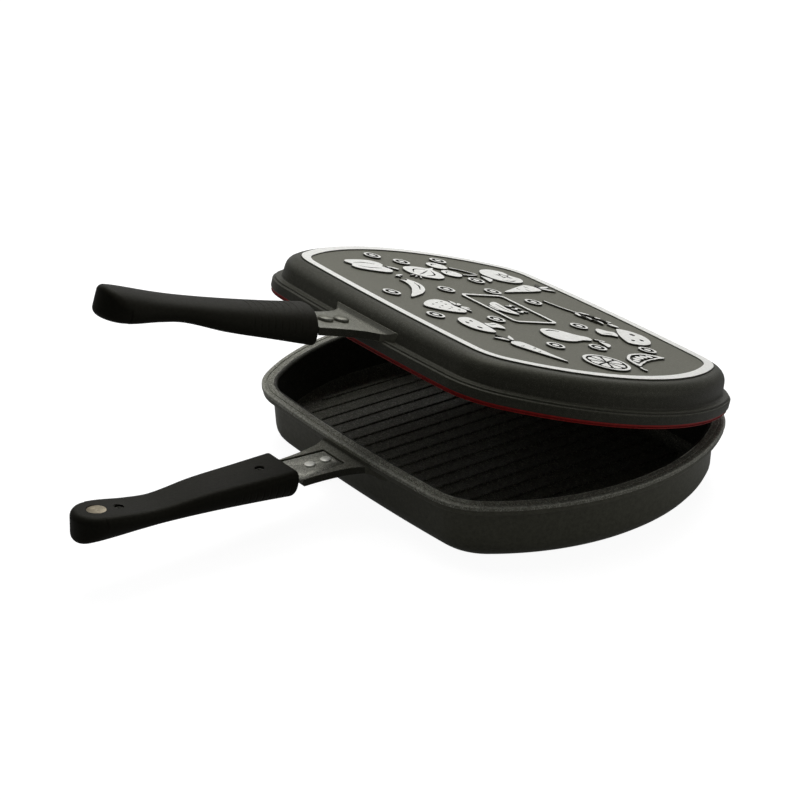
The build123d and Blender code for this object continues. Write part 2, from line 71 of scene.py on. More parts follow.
swing = (Matrix.Translation(hinge_point)
         @ Matrix.Rotation(radians(lid_ajar), 4, Vector(hinge["axis"]))
         @ Matrix.Translation(-hinge_point))
lower_half = Matrix.Translation((0, 0, parting * MM))
upper_half = swing @ lower_half @ Matrix.Rotation(pi, 4, "Y")


def handle_frame(half, rise):
    """Frame whose XY plane is where the grips meet, with -Y out along the handle."""
    start = Matrix.Translation((0, -handle_start * MM, 0))
    return half @ start @ Matrix.Rotation(radians(rise), 4, "X")


lower_handle = handle_frame(lower_half, -handle_rise)
upper_handle = handle_frame(upper_half, handle_rise)
print("lid stands open by", round(lid_ajar, 2), "degrees about", tuple(hinge_point))

# %% [markdown]
# ## The camera
# The view is from the front right and above, through a long lens, so the far end of the pan
# hardly shrinks. The camera is set by two angles round a point near the middle of the object.

# %% Camera
view_azimuth = 55.19
view_elevation = 24.72
view_roll = 0.93
view_distance = 1784.9
view_target = Vector((-68.5, -34.4, 30.0))
lens = 103.3


def add_object(name, data):
    """A new object in the scene that shows this data."""
    obj = bpy.data.objects.new(name, data)
    bpy.context.collection.objects.link(obj)
    return obj


az, el, roll = radians(view_azimuth), radians(view_elevation), radians(view_roll)
back = Vector((sin(az) * cos(el), -cos(az) * cos(el), sin(el)))
right = Vector((cos(az), sin(az), 0))
up = back.cross(right)
camera_right = right * cos(roll) - up * sin(roll)
camera_up = right * sin(roll) + up * cos(roll)
camera_data = bpy.data.cameras.new("camera")
camera_data.lens = lens
camera_data.sensor_width = 36
camera_data.clip_end = 20
camera = add_object("camera", camera_data)
camera.matrix_world = (Matrix.Translation((view_target + back * view_distance) * MM)
                       @ Matrix((camera_right, camera_up, back)).transposed().to_4x4())
bpy.context.scene.camera = camera
print("camera at", [round(v, 3) for v in camera.matrix_world.translation])

# %% [markdown]
# ## Finishes
# A finish is a small node tree. Most of these are built the same way: a broad noise read from
# Object coordinates varies the colour, and a fine one varies the roughness and lifts the surface
# as bump. A helper makes them, so each finish only says how coarse and how strong they are.

# %% Helpers for node trees
def join(tree, source, socket):
    """Link a socket to an output, a node's first output, or a tree's input given by its name."""
    if isinstance(source, str):
        source = tree.nodes["Group Input"].outputs[source]
    elif isinstance(source, bpy.types.Node):
        source = source.outputs[0]
    tree.links.new(source, socket)


def node(tree, kind, inputs=(), **settings):
    """Add a node, set its properties, and fill (socket name or number, value or source) pairs."""
    made = tree.nodes.new(kind)
    for key, value in settings.items():
        setattr(made, key, value)
    for socket, value in inputs:
        if isinstance(value, (str, bpy.types.Node, bpy.types.NodeSocket)):
            join(tree, value, made.inputs[socket])
        else:
            made.inputs[socket].default_value = value
    return made


def maths(tree, operation, *values):
    """A Math node on values or sources."""
    return node(tree, "ShaderNodeMath", enumerate(values), operation=operation)


def new_material(name):
    """An empty material with a Principled shader: returns (material, tree, shader)."""
    material = bpy.data.materials.new(name)
    material.use_nodes = True
    tree = material.node_tree
    return material, tree, tree.nodes["Principled BSDF"]


def noise(tree, scale, detail):
    """Noise on Object coordinates. scale is in waves for each metre."""
    place = node(tree, "ShaderNodeTexCoord").outputs["Object"]
    return node(tree, "ShaderNodeTexNoise",
                (("Vector", place), ("Scale", scale), ("Detail", detail)))


def ramp(tree, value, *stops):
    """A colour ramp between two (place, colour) stops."""
    made = node(tree, "ShaderNodeValToRGB", ((0, value),))
    for stop, (place, colour) in zip(made.color_ramp.elements, stops):
        stop.position = place
        stop.color = (*colour, 1)
    return made


def spread(tree, value, low, high):
    """Map a 0.3 to 0.7 noise value on low to high."""
    return node(tree, "ShaderNodeMapRange", (
        ("Value", value), ("From Min", 0.3), ("From Max", 0.7), ("To Min", low),
        ("To Max", high)))


gloss_tint = (1.0, 0.99, 0.80, 1.0)     # warms the gloss of every finish
broad_share, broad_detail = 4, 2.0      # the colour's noise is this many times coarser
fine_detail, fleck_detail, fleck_edge = 4.0, 1.0, 0.04


def grained(name, dark, light, grain, rough, lift, metal=0.0, speckle=None, specular=0.5):
    """A coated or moulded finish.

    dark and light are the two ends of its colour, grain is in waves for each metre, rough holds
    the lowest and highest roughness, and lift is the height of its texture in metres. speckle
    adds small light flecks: (waves for each metre, threshold, colour).
    """
    material, tree, shader = new_material(name)
    shader.inputs["Metallic"].default_value = metal
    shader.inputs["Specular IOR Level"].default_value = specular
    shader.inputs["Specular Tint"].default_value = gloss_tint
    broad = noise(tree, grain / broad_share, broad_detail)
    fine = noise(tree, grain, fine_detail)
    colour = ramp(tree, broad, (0.35, dark), (0.65, light))
    if speckle:
        scale, threshold, fleck = speckle
        flecks = ramp(tree, noise(tree, scale, fleck_detail),
                      (threshold, (0, 0, 0)), (threshold + fleck_edge, (1, 1, 1)))
        colour = node(tree, "ShaderNodeMix", (
            ("Factor", flecks), (6, colour), (7, (*fleck, 1))), data_type="RGBA").outputs[2]
    lifted = node(tree, "ShaderNodeBump", (
        ("Height", fine), ("Distance", lift), ("Strength", 1.0)))
    join(tree, colour, shader.inputs["Base Color"])
    join(tree, spread(tree, fine, *rough), shader.inputs["Roughness"])
    join(tree, lifted, shader.inputs["Normal"])
    print(name, "finish nodes:", len(tree.nodes))
    return material


# %% [markdown]
# The pans have a sprayed coating: nearly black, satin, and slightly rough like orange peel. It
# lies on the lid as it is, and greyer in the lid's sunken panel. On the bottom pan's wall it is
# painted lighter, as painted light. The cooking side, the rim and the lugs hold larger mineral
# flecks, and they are painted lighter too: the rim most, the lugs on their faces that face up.
# The inner wall of the bottom pan is painted darker, as painted shade, and two thin lines on the
# rim are painted highlights. The border ring and the raised figures are bare aluminium that was
# ground after coating, so they are light and finely rough.

# %% Finishes of the pans
coating = grained("cast_coating", (0.026, 0.026, 0.019), (0.036, 0.036, 0.027), 1400,
                  (0.38, 0.50), 0.00003, speckle=(2600, 0.62, (0.11, 0.11, 0.09)), specular=0.23)
# Painted light: the same coating, painted lighter for the bottom pan's wall and the lugs' flares.
wall_painted_light = grained("wall_painted_light", (0.076, 0.076, 0.057), (0.104, 0.104, 0.079), 1400,
                       (0.34, 0.46), 0.00003, speckle=(2600, 0.62, (0.14, 0.14, 0.115)),
                       specular=0.36)
# Flecked, and painted light: the rim's coating is painted much lighter than the same coating on
# the wall.
rim_flecks_painted_light = grained("rim_flecks_painted_light", (0.150, 0.150, 0.122), (0.225, 0.225, 0.186), 1300,
                      (0.32, 0.48), 0.00010, speckle=(1100, 0.57, (0.50, 0.50, 0.43)))
# Painted highlight: two thin light lines along the top of the rim.
painted_highlight = grained("painted_highlight_edge", (0.20, 0.20, 0.17), (0.46, 0.46, 0.40), 2600, (0.34, 0.48), 0.00003)
# Painted light: the lugs' faces that face up are painted lighter than the same coating elsewhere.
lug_painted_light = grained("lug_painted_light", (0.110, 0.110, 0.091), (0.155, 0.155, 0.129), 1100,
                      (0.30, 0.46), 0.00008, speckle=(1100, 0.58, (0.34, 0.34, 0.29)),
                      specular=0.6)
# Flecked non-stick, partly its own colour and partly painted lighter as painted light; on a lug's
# ridge it is a painted middle shade.
inside = grained("nonstick_inside", (0.076, 0.076, 0.060), (0.106, 0.106, 0.084), 1200,
                 (0.40, 0.54), 0.00008, speckle=(1100, 0.58, (0.25, 0.25, 0.21)), specular=0.25)
# Painted shade: the bottom pan's inner wall is painted darker than its floor.
painted_shade_well = grained("nonstick_painted_shade", (0.024, 0.024, 0.018), (0.034, 0.034, 0.026), 1200,
               (0.42, 0.56), 0.00005, speckle=(1100, 0.60, (0.08, 0.08, 0.065)), specular=0.2)
panel = grained("panel_coating", (0.104, 0.103, 0.080), (0.124, 0.123, 0.097), 2200,
                (0.46, 0.60), 0.00003, speckle=(3200, 0.64, (0.18, 0.18, 0.15)), specular=0.3)
bare = grained("ground_aluminium", (0.80, 0.80, 0.78), (0.90, 0.90, 0.88), 1800,
               (0.42, 0.56), 0.00002, metal=0.2)

# %% [markdown]
# The handle pieces: black moulded plastic with a fine leather-like grain, flecked steel tangs
# that went grey in the coating oven, rivets bright below and coated above, plated magnets with
# screws alike, and blackened screws in the grips. The hinge's pins are plain steel, and the
# gasket is dark red silicone.

# %% Finishes of the handles, the gasket and the fasteners
grip_plastic = grained("grip_plastic", (0.0100, 0.0094, 0.0068), (0.0130, 0.0123, 0.0090), 1600,
                       (0.46, 0.58), 0.00005, specular=0.09)
tang_steel = grained("tang_steel", (0.240, 0.240, 0.208), (0.360, 0.360, 0.315), 1000,
                     (0.40, 0.54), 0.00006, metal=0.2,
                     speckle=(1100, 0.58, (0.72, 0.72, 0.65)))
rivet_metal = grained("rivet_aluminium", (0.70, 0.70, 0.65), (0.86, 0.86, 0.80), 900,
                      (0.38, 0.54), 0.00008, metal=0.5)
dark_rivet = grained("coated_rivet", (0.105, 0.105, 0.092), (0.150, 0.150, 0.132), 1200,
                     (0.26, 0.36), 0.00002, metal=0.5)
magnet_metal = grained("magnet_plating", (0.27, 0.225, 0.16), (0.40, 0.345, 0.255), 420,
                       (0.40, 0.60), 0.00002, metal=0.35)
hinge_metal = grained("hinge_steel", (0.16, 0.16, 0.155), (0.22, 0.22, 0.215), 1500,
                      (0.32, 0.45), 0.00002, metal=0.9)
blackened = grained("blackened_screw", (0.020, 0.020, 0.017), (0.030, 0.030, 0.026), 1500,
                    (0.40, 0.55), 0.00002, metal=0.3)
silicone = grained("red_silicone", (0.34, 0.006, 0.008), (0.44, 0.010, 0.013), 1200,
                   (0.40, 0.50), 0.00001, specular=0.3)
print("finishes:", len(bpy.data.materials))

# %% [markdown]
# ## The outline that everything follows
# Seen from above, both pans are a barrel shape: two shallow arcs along the sides, two deeper arcs
# at the ends, and corner arcs tangent to both. Moving every arc inward by the same amount gives
# the outline of the walls, the cavity, the gasket and the ring, so one function serves them all.

# %% Plan outline
half_length = 180.0
half_width = 133.7
end_bow = 58.4
side_bow = 9.4
corner_radius = 53.7
end_radius = (half_width**2 + end_bow**2) / (2 * end_bow)
side_radius = (half_length**2 + side_bow**2) / (2 * side_bow)
end_centre = half_length - end_radius
side_centre = half_width - side_radius


def corner_centre():
    """Middle of the corner arc that is tangent to the end arc and to the side arc."""
    to_end, to_side = end_radius - corner_radius, side_radius - corner_radius
    span = hypot(end_centre, side_centre)
    along = (to_end**2 - to_side**2 + span**2) / (2 * span)
    across = sqrt(to_end**2 - along**2)
    step_x, step_y = -end_centre / span, side_centre / span
    return end_centre + step_x * along - step_y * across, step_y * along + step_x * across


corner_x, corner_y = corner_centre()
end_sweep = atan2(corner_y, corner_x - end_centre)
corner_stop = atan2(corner_y - side_centre, corner_x)
end_steps, corner_steps, side_steps = 36, 22, 44


def arc(centre, radius, start, sweep, steps):
    """Points along an arc, without its last one."""
    angles = [start + sweep * step / steps for step in range(steps)]
    return [(centre[0] + radius * cos(a), centre[1] + radius * sin(a)) for a in angles]


def outline(inset):
    """The pans' plan outline moved inward by inset, anticlockwise."""
    points = []
    for side, start in ((1, 0.0), (-1, pi)):
        points += arc((side * end_centre, 0), end_radius - inset, start - end_sweep,
                      2 * end_sweep, end_steps)
        points += arc((side * corner_x, side * corner_y), corner_radius - inset,
                      start + end_sweep, corner_stop - end_sweep, corner_steps)
        points += arc((0, side * side_centre), side_radius - inset, start + corner_stop,
                      pi - 2 * corner_stop, side_steps)
        points += arc((-side * corner_x, side * corner_y), corner_radius - inset,
                      start + pi - corner_stop, corner_stop - end_sweep, corner_steps)
    return points


print("outline points:", len(outline(0)), "corner at", round(corner_x, 1), round(corner_y, 1))

# %% [markdown]
# A pan is that outline swept through a cross-section. The cross-section is a chain of corners,
# each given as (inset, height, radius, finish): the helper rounds each corner with an arc and
# puts one extra point just before and after it. Those support points keep the shading of the
# flat stretches flat, so that the small radii catch a thin line of light as the castings do.

# %% Cross-sections with rounded corners
arc_steps = 6
support = 0.35
straight = 0.01            # a turn of less than this, in radians, needs no arc


def rounded(corners, closed):
    """Points (inset, height, finish) along a chain of rounded corners."""
    points, count = [], len(corners)
    for index, (inset, height, radius, finish) in enumerate(corners):
        here = Vector((inset, height))
        if not closed and index in (0, count - 1):
            points.append((inset, height, finish))
            continue
        before = Vector(corners[index - 1][:2])
        after = Vector(corners[(index + 1) % count][:2])
        came, goes = (here - before).normalized(), (after - here).normalized()
        turn = atan2(came.x * goes.y - came.y * goes.x, came.dot(goes))
        if radius == 0 or abs(turn) < straight:
            points.append((inset, height, finish))
            continue
        reach = radius * tan(abs(turn) / 2)
        start = here - came * reach
        side = Vector((-came.y, came.x)) * (1 if turn > 0 else -1)
        middle = start + side * radius
        steps = max(2, round(arc_steps * abs(turn) / (pi / 2)))
        points.append((*(start - came * min(support, radius / 2)), corners[index - 1][3]))
        for step in range(steps + 1):
            spoke = Matrix.Rotation(turn * step / steps, 2) @ (start - middle)
            points.append((*(middle + spoke), finish if step == steps else corners[index - 1][3]))
        end = here + goes * reach
        points.append((*(end + goes * min(support, radius / 2)), finish))
    return points


def shade(mesh, smooth):
    """Shade all faces of a mesh smooth, or all of them flat."""
    mesh.polygons.foreach_set("use_smooth", [smooth] * len(mesh.polygons))


def new_piece(name, points, faces, place, materials, indices=None, uvs=None):
    """A mesh object from points in millimetres in a frame. Its place goes into its mesh."""
    mesh = bpy.data.meshes.new(name)
    mesh.from_pydata([place @ (Vector(p) * MM) for p in points], [], faces)
    for material in materials:
        mesh.materials.append(material)
    if indices:
        mesh.polygons.foreach_set("material_index", indices)
    if uvs:
        mesh.uv_layers.new(name="along").data.foreach_set("uv", [v for pair in uvs for v in pair])
    shade(mesh, True)
    return add_object(name, mesh)


def edit(obj, *steps):
    """Run bmesh steps on an object's mesh. Each step is a function of the bmesh."""
    work = bmesh.new()
    work.from_mesh(obj.data)
    for step in steps:
        step(work)
    work.to_mesh(obj.data)
    work.free()
    return obj


def outward(work):
    """Turn all faces of a closed mesh outwards."""
    bmesh.ops.recalc_face_normals(work, faces=work.faces)


def weld(distance):
    """A bmesh step that merges points closer than a distance in metres."""
    return lambda work: bmesh.ops.remove_doubles(work, verts=work.verts, dist=distance)


def band(start, count):
    """Faces between two rings of count points that follow each other from point start on."""
    return [(start + k, start + (k + 1) % count, start + count + (k + 1) % count,
             start + count + k) for k in range(count)]


def swept(name, corners, place, finishes, closed=False):
    """Sweep a cross-section round the outline. An open one is filled in at both its ends.

    corners holds (inset, height, radius, finish name) and finishes maps those names to materials.
    A UV map keeps where each face lies, in metres: U round the outline, V along the section.
    """
    section = rounded(corners, closed)
    kinds = [list(finishes).index(finish) for _, _, finish in section]
    rings = [[(x, y, height) for x, y in outline(inset)] for inset, height, _ in section]
    if closed:
        rings, kinds = rings + rings[:1], kinds + kinds[:1]
    else:
        first, last = rings[0], rings[-1]
        shares = (0.25, 0.5, 0.75)
        rings = ([[(x * s, y * s, z) for x, y, z in first] for s in shares] + rings
                 + [[(x * s, y * s, z) for x, y, z in last] for s in reversed(shares)])
        kinds = [kinds[0]] * len(shares) + kinds + [kinds[-1]] * len(shares)
    count = len(rings[0])
    reach = [0.0]
    for near, far in zip(rings, rings[1:]):
        reach.append(reach[-1] + (Vector(far[0]) - Vector(near[0])).length)
    lap = sum((Vector(a) - Vector(b)).length for a, b in zip(rings[0], rings[0][1:]))
    points = [point for ring in (rings[:-1] if closed else rings) for point in ring]
    faces, indices, uvs = [], [], []
    for row in range(len(rings) - 1):
        below = row * count
        above = ((row + 1) % (len(rings) - 1) if closed else row + 1) * count
        for k in range(count):
            n = (k + 1) % count
            faces.append((below + k, below + n, above + n, above + k))
            indices.append(kinds[row])
            left, wide = k * lap / count * MM, (k + 1) * lap / count * MM
            low, high = reach[row] * MM, reach[row + 1] * MM
            uvs += [(left, low), (wide, low), (wide, high), (left, high)]
    if not closed:
        for ring, kind in ((0, kinds[0]), (len(rings) - 1, kinds[-1])):
            points.append((0, 0, rings[ring][0][2]))
            for k in range(count):
                faces.append((ring * count + k, ring * count + (k + 1) % count, len(points) - 1))
                indices.append(kind)
                uvs += [(0.0, 0.0)] * 3
    obj = new_piece(name, points, faces, place, finishes.values(), indices, uvs)
    return edit(obj, outward)


def keep(obj, body, slot, *nodes):
    """Let a finished piece ride on its body, and stand for its solids."""
    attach(obj, body)
    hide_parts(*nodes)
    print(obj.name, "faces:", len(obj.data.polygons))
    return obj


# %% [markdown]
# ## The bottom pan
# A deep pan with a plain outside wall under a two-step rim. The top of the rim carries a shallow
# groove, where the lid's gasket lands, between two thin lines of painted highlight. The section
# runs from the middle of the floor, up the inside, over the rim and down the outside to the middle
# of the base.

# %% Bottom pan
rim_level = -rim_gap / 2
base_level = -parting
floor_thickness = 5.0
floor_level = base_level + floor_thickness
rim_width = 9.6
rim_round, rim_edge = 2.6, 0.8
# where the two lines of painted highlight lie on the rim, as insets
highlight_from, highlight_to, highlight_outer = rim_width - 0.1, rim_width - 0.8, 1.7
mouth = rim_width + rim_round
wall_inset = 8.5
wall_draft = radians(3)
bead, bead_step, flange = 3.2, 0.9, 7.2
base_round, floor_round = 13.4, 9.0
groove_near, groove_far, groove_deep = 3.7, 4.8, 0.7
fill_from = 48.0           # inset where the flat middle of a floor begins

inner_foot = mouth + (rim_level - floor_level) * tan(wall_draft)
outer_foot = wall_inset + (rim_level - flange - base_level) * tan(wall_draft)
# The rim and the outside wall take finishes painted lighter as painted light, the inner wall a
# painted shade, and two lines on the rim a painted highlight.
bottom_corners = [
    (fill_from, floor_level, 0, "inside"),
    (inner_foot, floor_level, floor_round, "painted_shade_well"),
    (mouth, rim_level, rim_round, "rim"),
    (highlight_from, rim_level, 0, "painted_highlight"),
    (highlight_to, rim_level, 0, "rim"),
    (groove_far, rim_level, 0.25, "rim"),
    (groove_far, rim_level - groove_deep, 0.3, "rim"),
    (groove_near, rim_level - groove_deep, 0.3, "rim"),
    (groove_near, rim_level, 0.25, "rim"),
    (highlight_outer, rim_level, 0, "painted_highlight"),
    (0, rim_level, rim_edge, "rim"),
    (0, rim_level - bead, 0.5, "wall"),
    (bead_step, rim_level - bead, 0.3, "wall"),
    (bead_step, rim_level - flange, 0.9, "wall"),
    (wall_inset, rim_level - flange, 1.5, "wall"),
    (outer_foot, base_level, base_round, "wall"),
    (fill_from, base_level, 0, "wall"),
]
pan_finishes = {"coating": coating, "inside": inside, "panel": panel, "bare": bare,
                "rim": rim_flecks_painted_light, "wall": wall_painted_light, "painted_shade_well": painted_shade_well, "painted_highlight": painted_highlight}
bottom_pan = swept("bottom_pan_casting", bottom_corners, lower_half, pan_finishes)
keep(bottom_pan, "base", "pan_coating", "bottom_pan")

# %% [markdown]
# The floor's ribs are a job for Geometry Nodes: the same bar again and again, each as long as
# the pan is wide where it lies. The tree sets out points along the pan, shoots a ray from each
# one at the wall, and stretches a bar to that length, so the ribs fit whatever pan they are given.

# %% Floor ribs
def new_tree(name, *sockets):
    """A Geometry Nodes tree with named inputs, each given as (name, kind, value)."""
    tree = bpy.data.node_groups.new(name, "GeometryNodeTree")
    for label, kind, value in sockets:
        socket = tree.interface.new_socket(label, in_out="INPUT", socket_type=f"NodeSocket{kind}")
        if value is not None:
            socket.default_value = value
    tree.interface.new_socket("Geometry", in_out="OUTPUT", socket_type="NodeSocketGeometry")
    tree.nodes.new("NodeGroupInput")
    return tree


def realized(tree, instances, material):
    """Instances made real, with a material, as every tree here ends."""
    real = node(tree, "GeometryNodeRealizeInstances", ((0, instances),))
    return node(tree, "GeometryNodeSetMaterial", (("Geometry", real), ("Material", material)))


def plain(obj, place=None):
    """Apply an object's modifiers, and its place, to its mesh."""
    view = bpy.context.evaluated_depsgraph_get()
    mesh = bpy.data.meshes.new_from_object(obj.evaluated_get(view), depsgraph=view)
    obj.modifiers.clear()
    old, obj.data = obj.data, mesh
    bpy.data.meshes.remove(old)
    if place:
        mesh.transform(place)
    return obj


def grown(name, tree, inputs, place=None):
    """Run a tree on an empty mesh with these inputs, and return the result as a plain mesh."""
    obj = add_object(name, bpy.data.meshes.new(name))
    modifier = obj.modifiers.new(tree.name, "NODES")
    modifier.node_group = tree
    for item in tree.interface.items_tree:
        if item.in_out == "INPUT" and item.name in inputs:
            modifier[item.identifier] = inputs[item.name]
    return plain(obj, place)


rib_pitch, rib_width, rib_top, rib_height = 15.1, 3.6, 2.8, 1.9
rib_gap, rib_round = 3.0, 0.6
rib_count = 2 * int((half_length - inner_foot - floor_round) / rib_pitch) + 1

tree = new_tree(
    "floor_ribs", ("Pan", "Object", None), ("Count", "Int", 21), ("Pitch", "Float", 0.015),
    ("Width", "Float", 0.0036), ("Top Width", "Float", 0.0028), ("Height", "Float", 0.0019),
    ("Sunk", "Float", 0.0005), ("Floor", "Float", 0.005), ("Wall Gap", "Float", 0.003),
    ("Material", "Material", None))
span = maths(tree, "MULTIPLY", maths(tree, "SUBTRACT", "Count", 1.0), "Pitch")
first = node(tree, "ShaderNodeCombineXYZ", (
    ("X", maths(tree, "MULTIPLY", span, -0.5)), ("Z", "Floor")))
step = node(tree, "ShaderNodeCombineXYZ", (("X", "Pitch"),))
places = node(tree, "GeometryNodeMeshLine", (
    ("Count", "Count"), ("Start Location", first), ("Offset", step)))
pan_mesh = node(tree, "GeometryNodeObjectInfo", (("Object", "Pan"),))
above = node(tree, "ShaderNodeVectorMath", (
    (0, node(tree, "GeometryNodeInputPosition")), (1, (0, 0, MM))), operation="ADD")
wall = node(tree, "GeometryNodeRaycast", (
    ("Target Geometry", pan_mesh.outputs["Geometry"]), ("Source Position", above),
    ("Ray Direction", (0, 1, 0)), ("Ray Length", 1.0)))
room = maths(tree, "SUBTRACT", wall.outputs["Hit Distance"], "Wall Gap")
stretch = node(tree, "ShaderNodeCombineXYZ", (
    ("X", 1.0), ("Y", maths(tree, "MULTIPLY", room, 2.0)), ("Z", 1.0)))
shape = node(tree, "GeometryNodeCurvePrimitiveQuadrilateral", (
    ("Bottom Width", "Width"), ("Top Width", "Top Width"), ("Offset", 0.0),
    ("Height", maths(tree, "ADD", "Height", "Sunk"))), mode="TRAPEZOID")
soft = node(tree, "GeometryNodeFilletCurve", (
    ("Curve", shape), ("Count", 3), ("Radius", rib_round * MM)), mode="POLY")
spine = node(tree, "GeometryNodeCurvePrimitiveLine", (
    ("Start", (0, -0.5, 0)), ("End", (0, 0.5, 0))))
bar = node(tree, "GeometryNodeCurveToMesh", (
    ("Curve", spine), ("Profile Curve", soft), ("Fill Caps", True)))
bars = node(tree, "GeometryNodeInstanceOnPoints", (
    ("Points", places), ("Instance", bar), ("Scale", stretch)))
node(tree, "NodeGroupOutput", ((0, realized(tree, bars, "Material")),))

ribs = grown("floor_ribs", tree, {
    "Pan": bottom_pan, "Count": rib_count, "Pitch": rib_pitch * MM, "Width": rib_width * MM,
    "Top Width": rib_top * MM, "Height": rib_height * MM, "Floor": floor_thickness * MM,
    "Wall Gap": rib_gap * MM, "Material": inside})
keep(ribs, "base", "pan_coating", "bottom_pan")
print("rib box:", [round(v / MM, 1) for v in ribs.dimensions])

# %% [markdown]
# ## The lid pan
# The lid is shallower. Outside, a narrow ledge runs round above the rim, the wall rises from it
# to a full round shoulder, and a raised border ring frames the sunken panel. The ring's top is
# ground back to bare aluminium.

# %% Lid pan
lid_height = 28.0
ring_inset, ring_width, ring_height = 18.0, 7.7, 1.1
ledge_inset, ledge = 1.7, 1.6
lid_wall_inset = 6.6
lid_draft = radians(5)
lid_thickness = 4.2
shoulder_round, ceiling_round = 10.0, 6.0
seal_near, seal_far, seal_deep = 4.0, 7.4, 3.35

panel_level = rim_level - lid_height + ring_height
ceiling_level = panel_level + lid_thickness
ceiling_inset = mouth + (rim_level - ceiling_level) * tan(lid_draft)
shoulder_inset = lid_wall_inset + (rim_level - flange - panel_level) * tan(lid_draft)
ring_top = panel_level - ring_height
lid_corners = [
    (fill_from, ceiling_level, 0, "inside"),
    (ceiling_inset, ceiling_level, ceiling_round, "inside"),
    (mouth, rim_level, rim_round, "coating"),
    (seal_far, rim_level, 0.2, "coating"),
    (seal_far, rim_level - seal_deep, 0.2, "coating"),
    (seal_near, rim_level - seal_deep, 0.2, "coating"),
    (seal_near, rim_level, 0.2, "coating"),
    (0, rim_level, 0.8, "coating"),
    (0, rim_level - flange, 1.0, "coating"),
    (ledge_inset, rim_level - flange, 0.4, "coating"),
    (ledge_inset, rim_level - flange - ledge, 0.6, "coating"),
    (lid_wall_inset, rim_level - flange - ledge, 1.4, "coating"),
    (shoulder_inset, panel_level, shoulder_round, "coating"),
    (ring_inset, panel_level, 0.2, "coating"),
    (ring_inset, ring_top, 0.35, "bare"),
    (ring_inset + ring_width, ring_top, 0.35, "coating"),
    (ring_inset + ring_width, panel_level, 0.25, "panel"),
    (fill_from, panel_level, 0, "panel"),
]
lid_pan = swept("lid_pan_casting", lid_corners, upper_half, pan_finishes)
keep(lid_pan, "lid", "pan_coating", "lid_pan")

# %% [markdown]
# The figures on the lid are cast with it: flat islands a little higher than the ring, ground
# bright on top, with dark coated sides and thin cut lines. Each one is drawn from a few closed
# outlines. Filled 2D curves suit this: an outline inside another one becomes a hole, and one
# inside a hole is solid again. The drawings need only three pens: a smooth closed loop, a stroke
# that swells and thins, and an ellipse.

# %% Pens for the figures
spline_steps, cap_steps = 7, 6


def spline_points(points, closed):
    """A smooth curve through control points, sampled as (point, place along it) pairs."""
    count = len(points)
    spans = count if closed else count - 1
    found = []
    for span in range(spans):
        a, b, c, d = (Vector(points[(span + k) % count] if closed
                             else points[min(max(span + k, 0), count - 1)]) for k in (-1, 0, 1, 2))
        for step in range(spline_steps):
            t = step / spline_steps
            found.append((b + (c - a) * 0.5 * t + (a * 2 - b * 5 + c * 4 - d) * 0.5 * t * t
                          + (b * 3 - a - c * 3 + d) * 0.5 * t**3, span + t))
    if not closed:
        found.append((Vector(points[-1]), spans))
    return found


def loop(*points):
    """A smooth closed outline through points."""
    return [tuple(p) for p, _ in spline_points(points, True)]


def stroke(points, half_widths):
    """Outline of a pen stroke through points, with a half width at each one and round ends."""
    middle = spline_points(points, False)
    left, right = [], []
    for index, (p, at) in enumerate(middle):
        before, after = middle[max(index - 1, 0)][0], middle[min(index + 1, len(middle) - 1)][0]
        way = (after - before).normalized()
        span = min(int(at), len(half_widths) - 2)
        half = half_widths[span] + (half_widths[span + 1] - half_widths[span]) * (at - span)
        side = Vector((-way.y, way.x)) * half
        left.append(p + side)
        right.append(p - side)
        if index == 0:
            first = [p - Matrix.Rotation(pi * k / cap_steps, 2) @ side
                     for k in range(1, cap_steps)]
        last = [p + Matrix.Rotation(-pi * k / cap_steps, 2) @ side
                for k in range(1, cap_steps)]
    return [tuple(p) for p in left + last + right[::-1] + first]


def ellipse(x, y, wide, high=None, turn=0, steps=28):
    """An ellipse about a place, or a circle where it has one size."""
    spin = Matrix.Rotation(radians(turn), 2)
    return [tuple(Vector((x, y)) + spin @ Vector((wide * cos(2 * pi * k / steps),
                                                  (high or wide) * sin(2 * pi * k / steps))))
            for k in range(steps)]


def star(x, y, tips, far, near):
    """A star with one tip up."""
    return [(x + (near if k % 2 else far) * cos(pi / 2 + pi * k / tips),
             y + (near if k % 2 else far) * sin(pi / 2 + pi * k / tips))
            for k in range(2 * tips)]


def wedge(near, far, middle, half):
    """A segment of a slice: middle and half are angles in degrees."""
    corners = [(near, 0), (far * 0.9, -half), (far, -half * 0.5), (far, half * 0.5),
               (far * 0.9, half)]
    return [(r * cos(radians(middle + a)), r * sin(radians(middle + a))) for r, a in corners]


print("points in a round loop:", len(loop((0, 1), (1, 0), (0, -1), (-1, 0))))

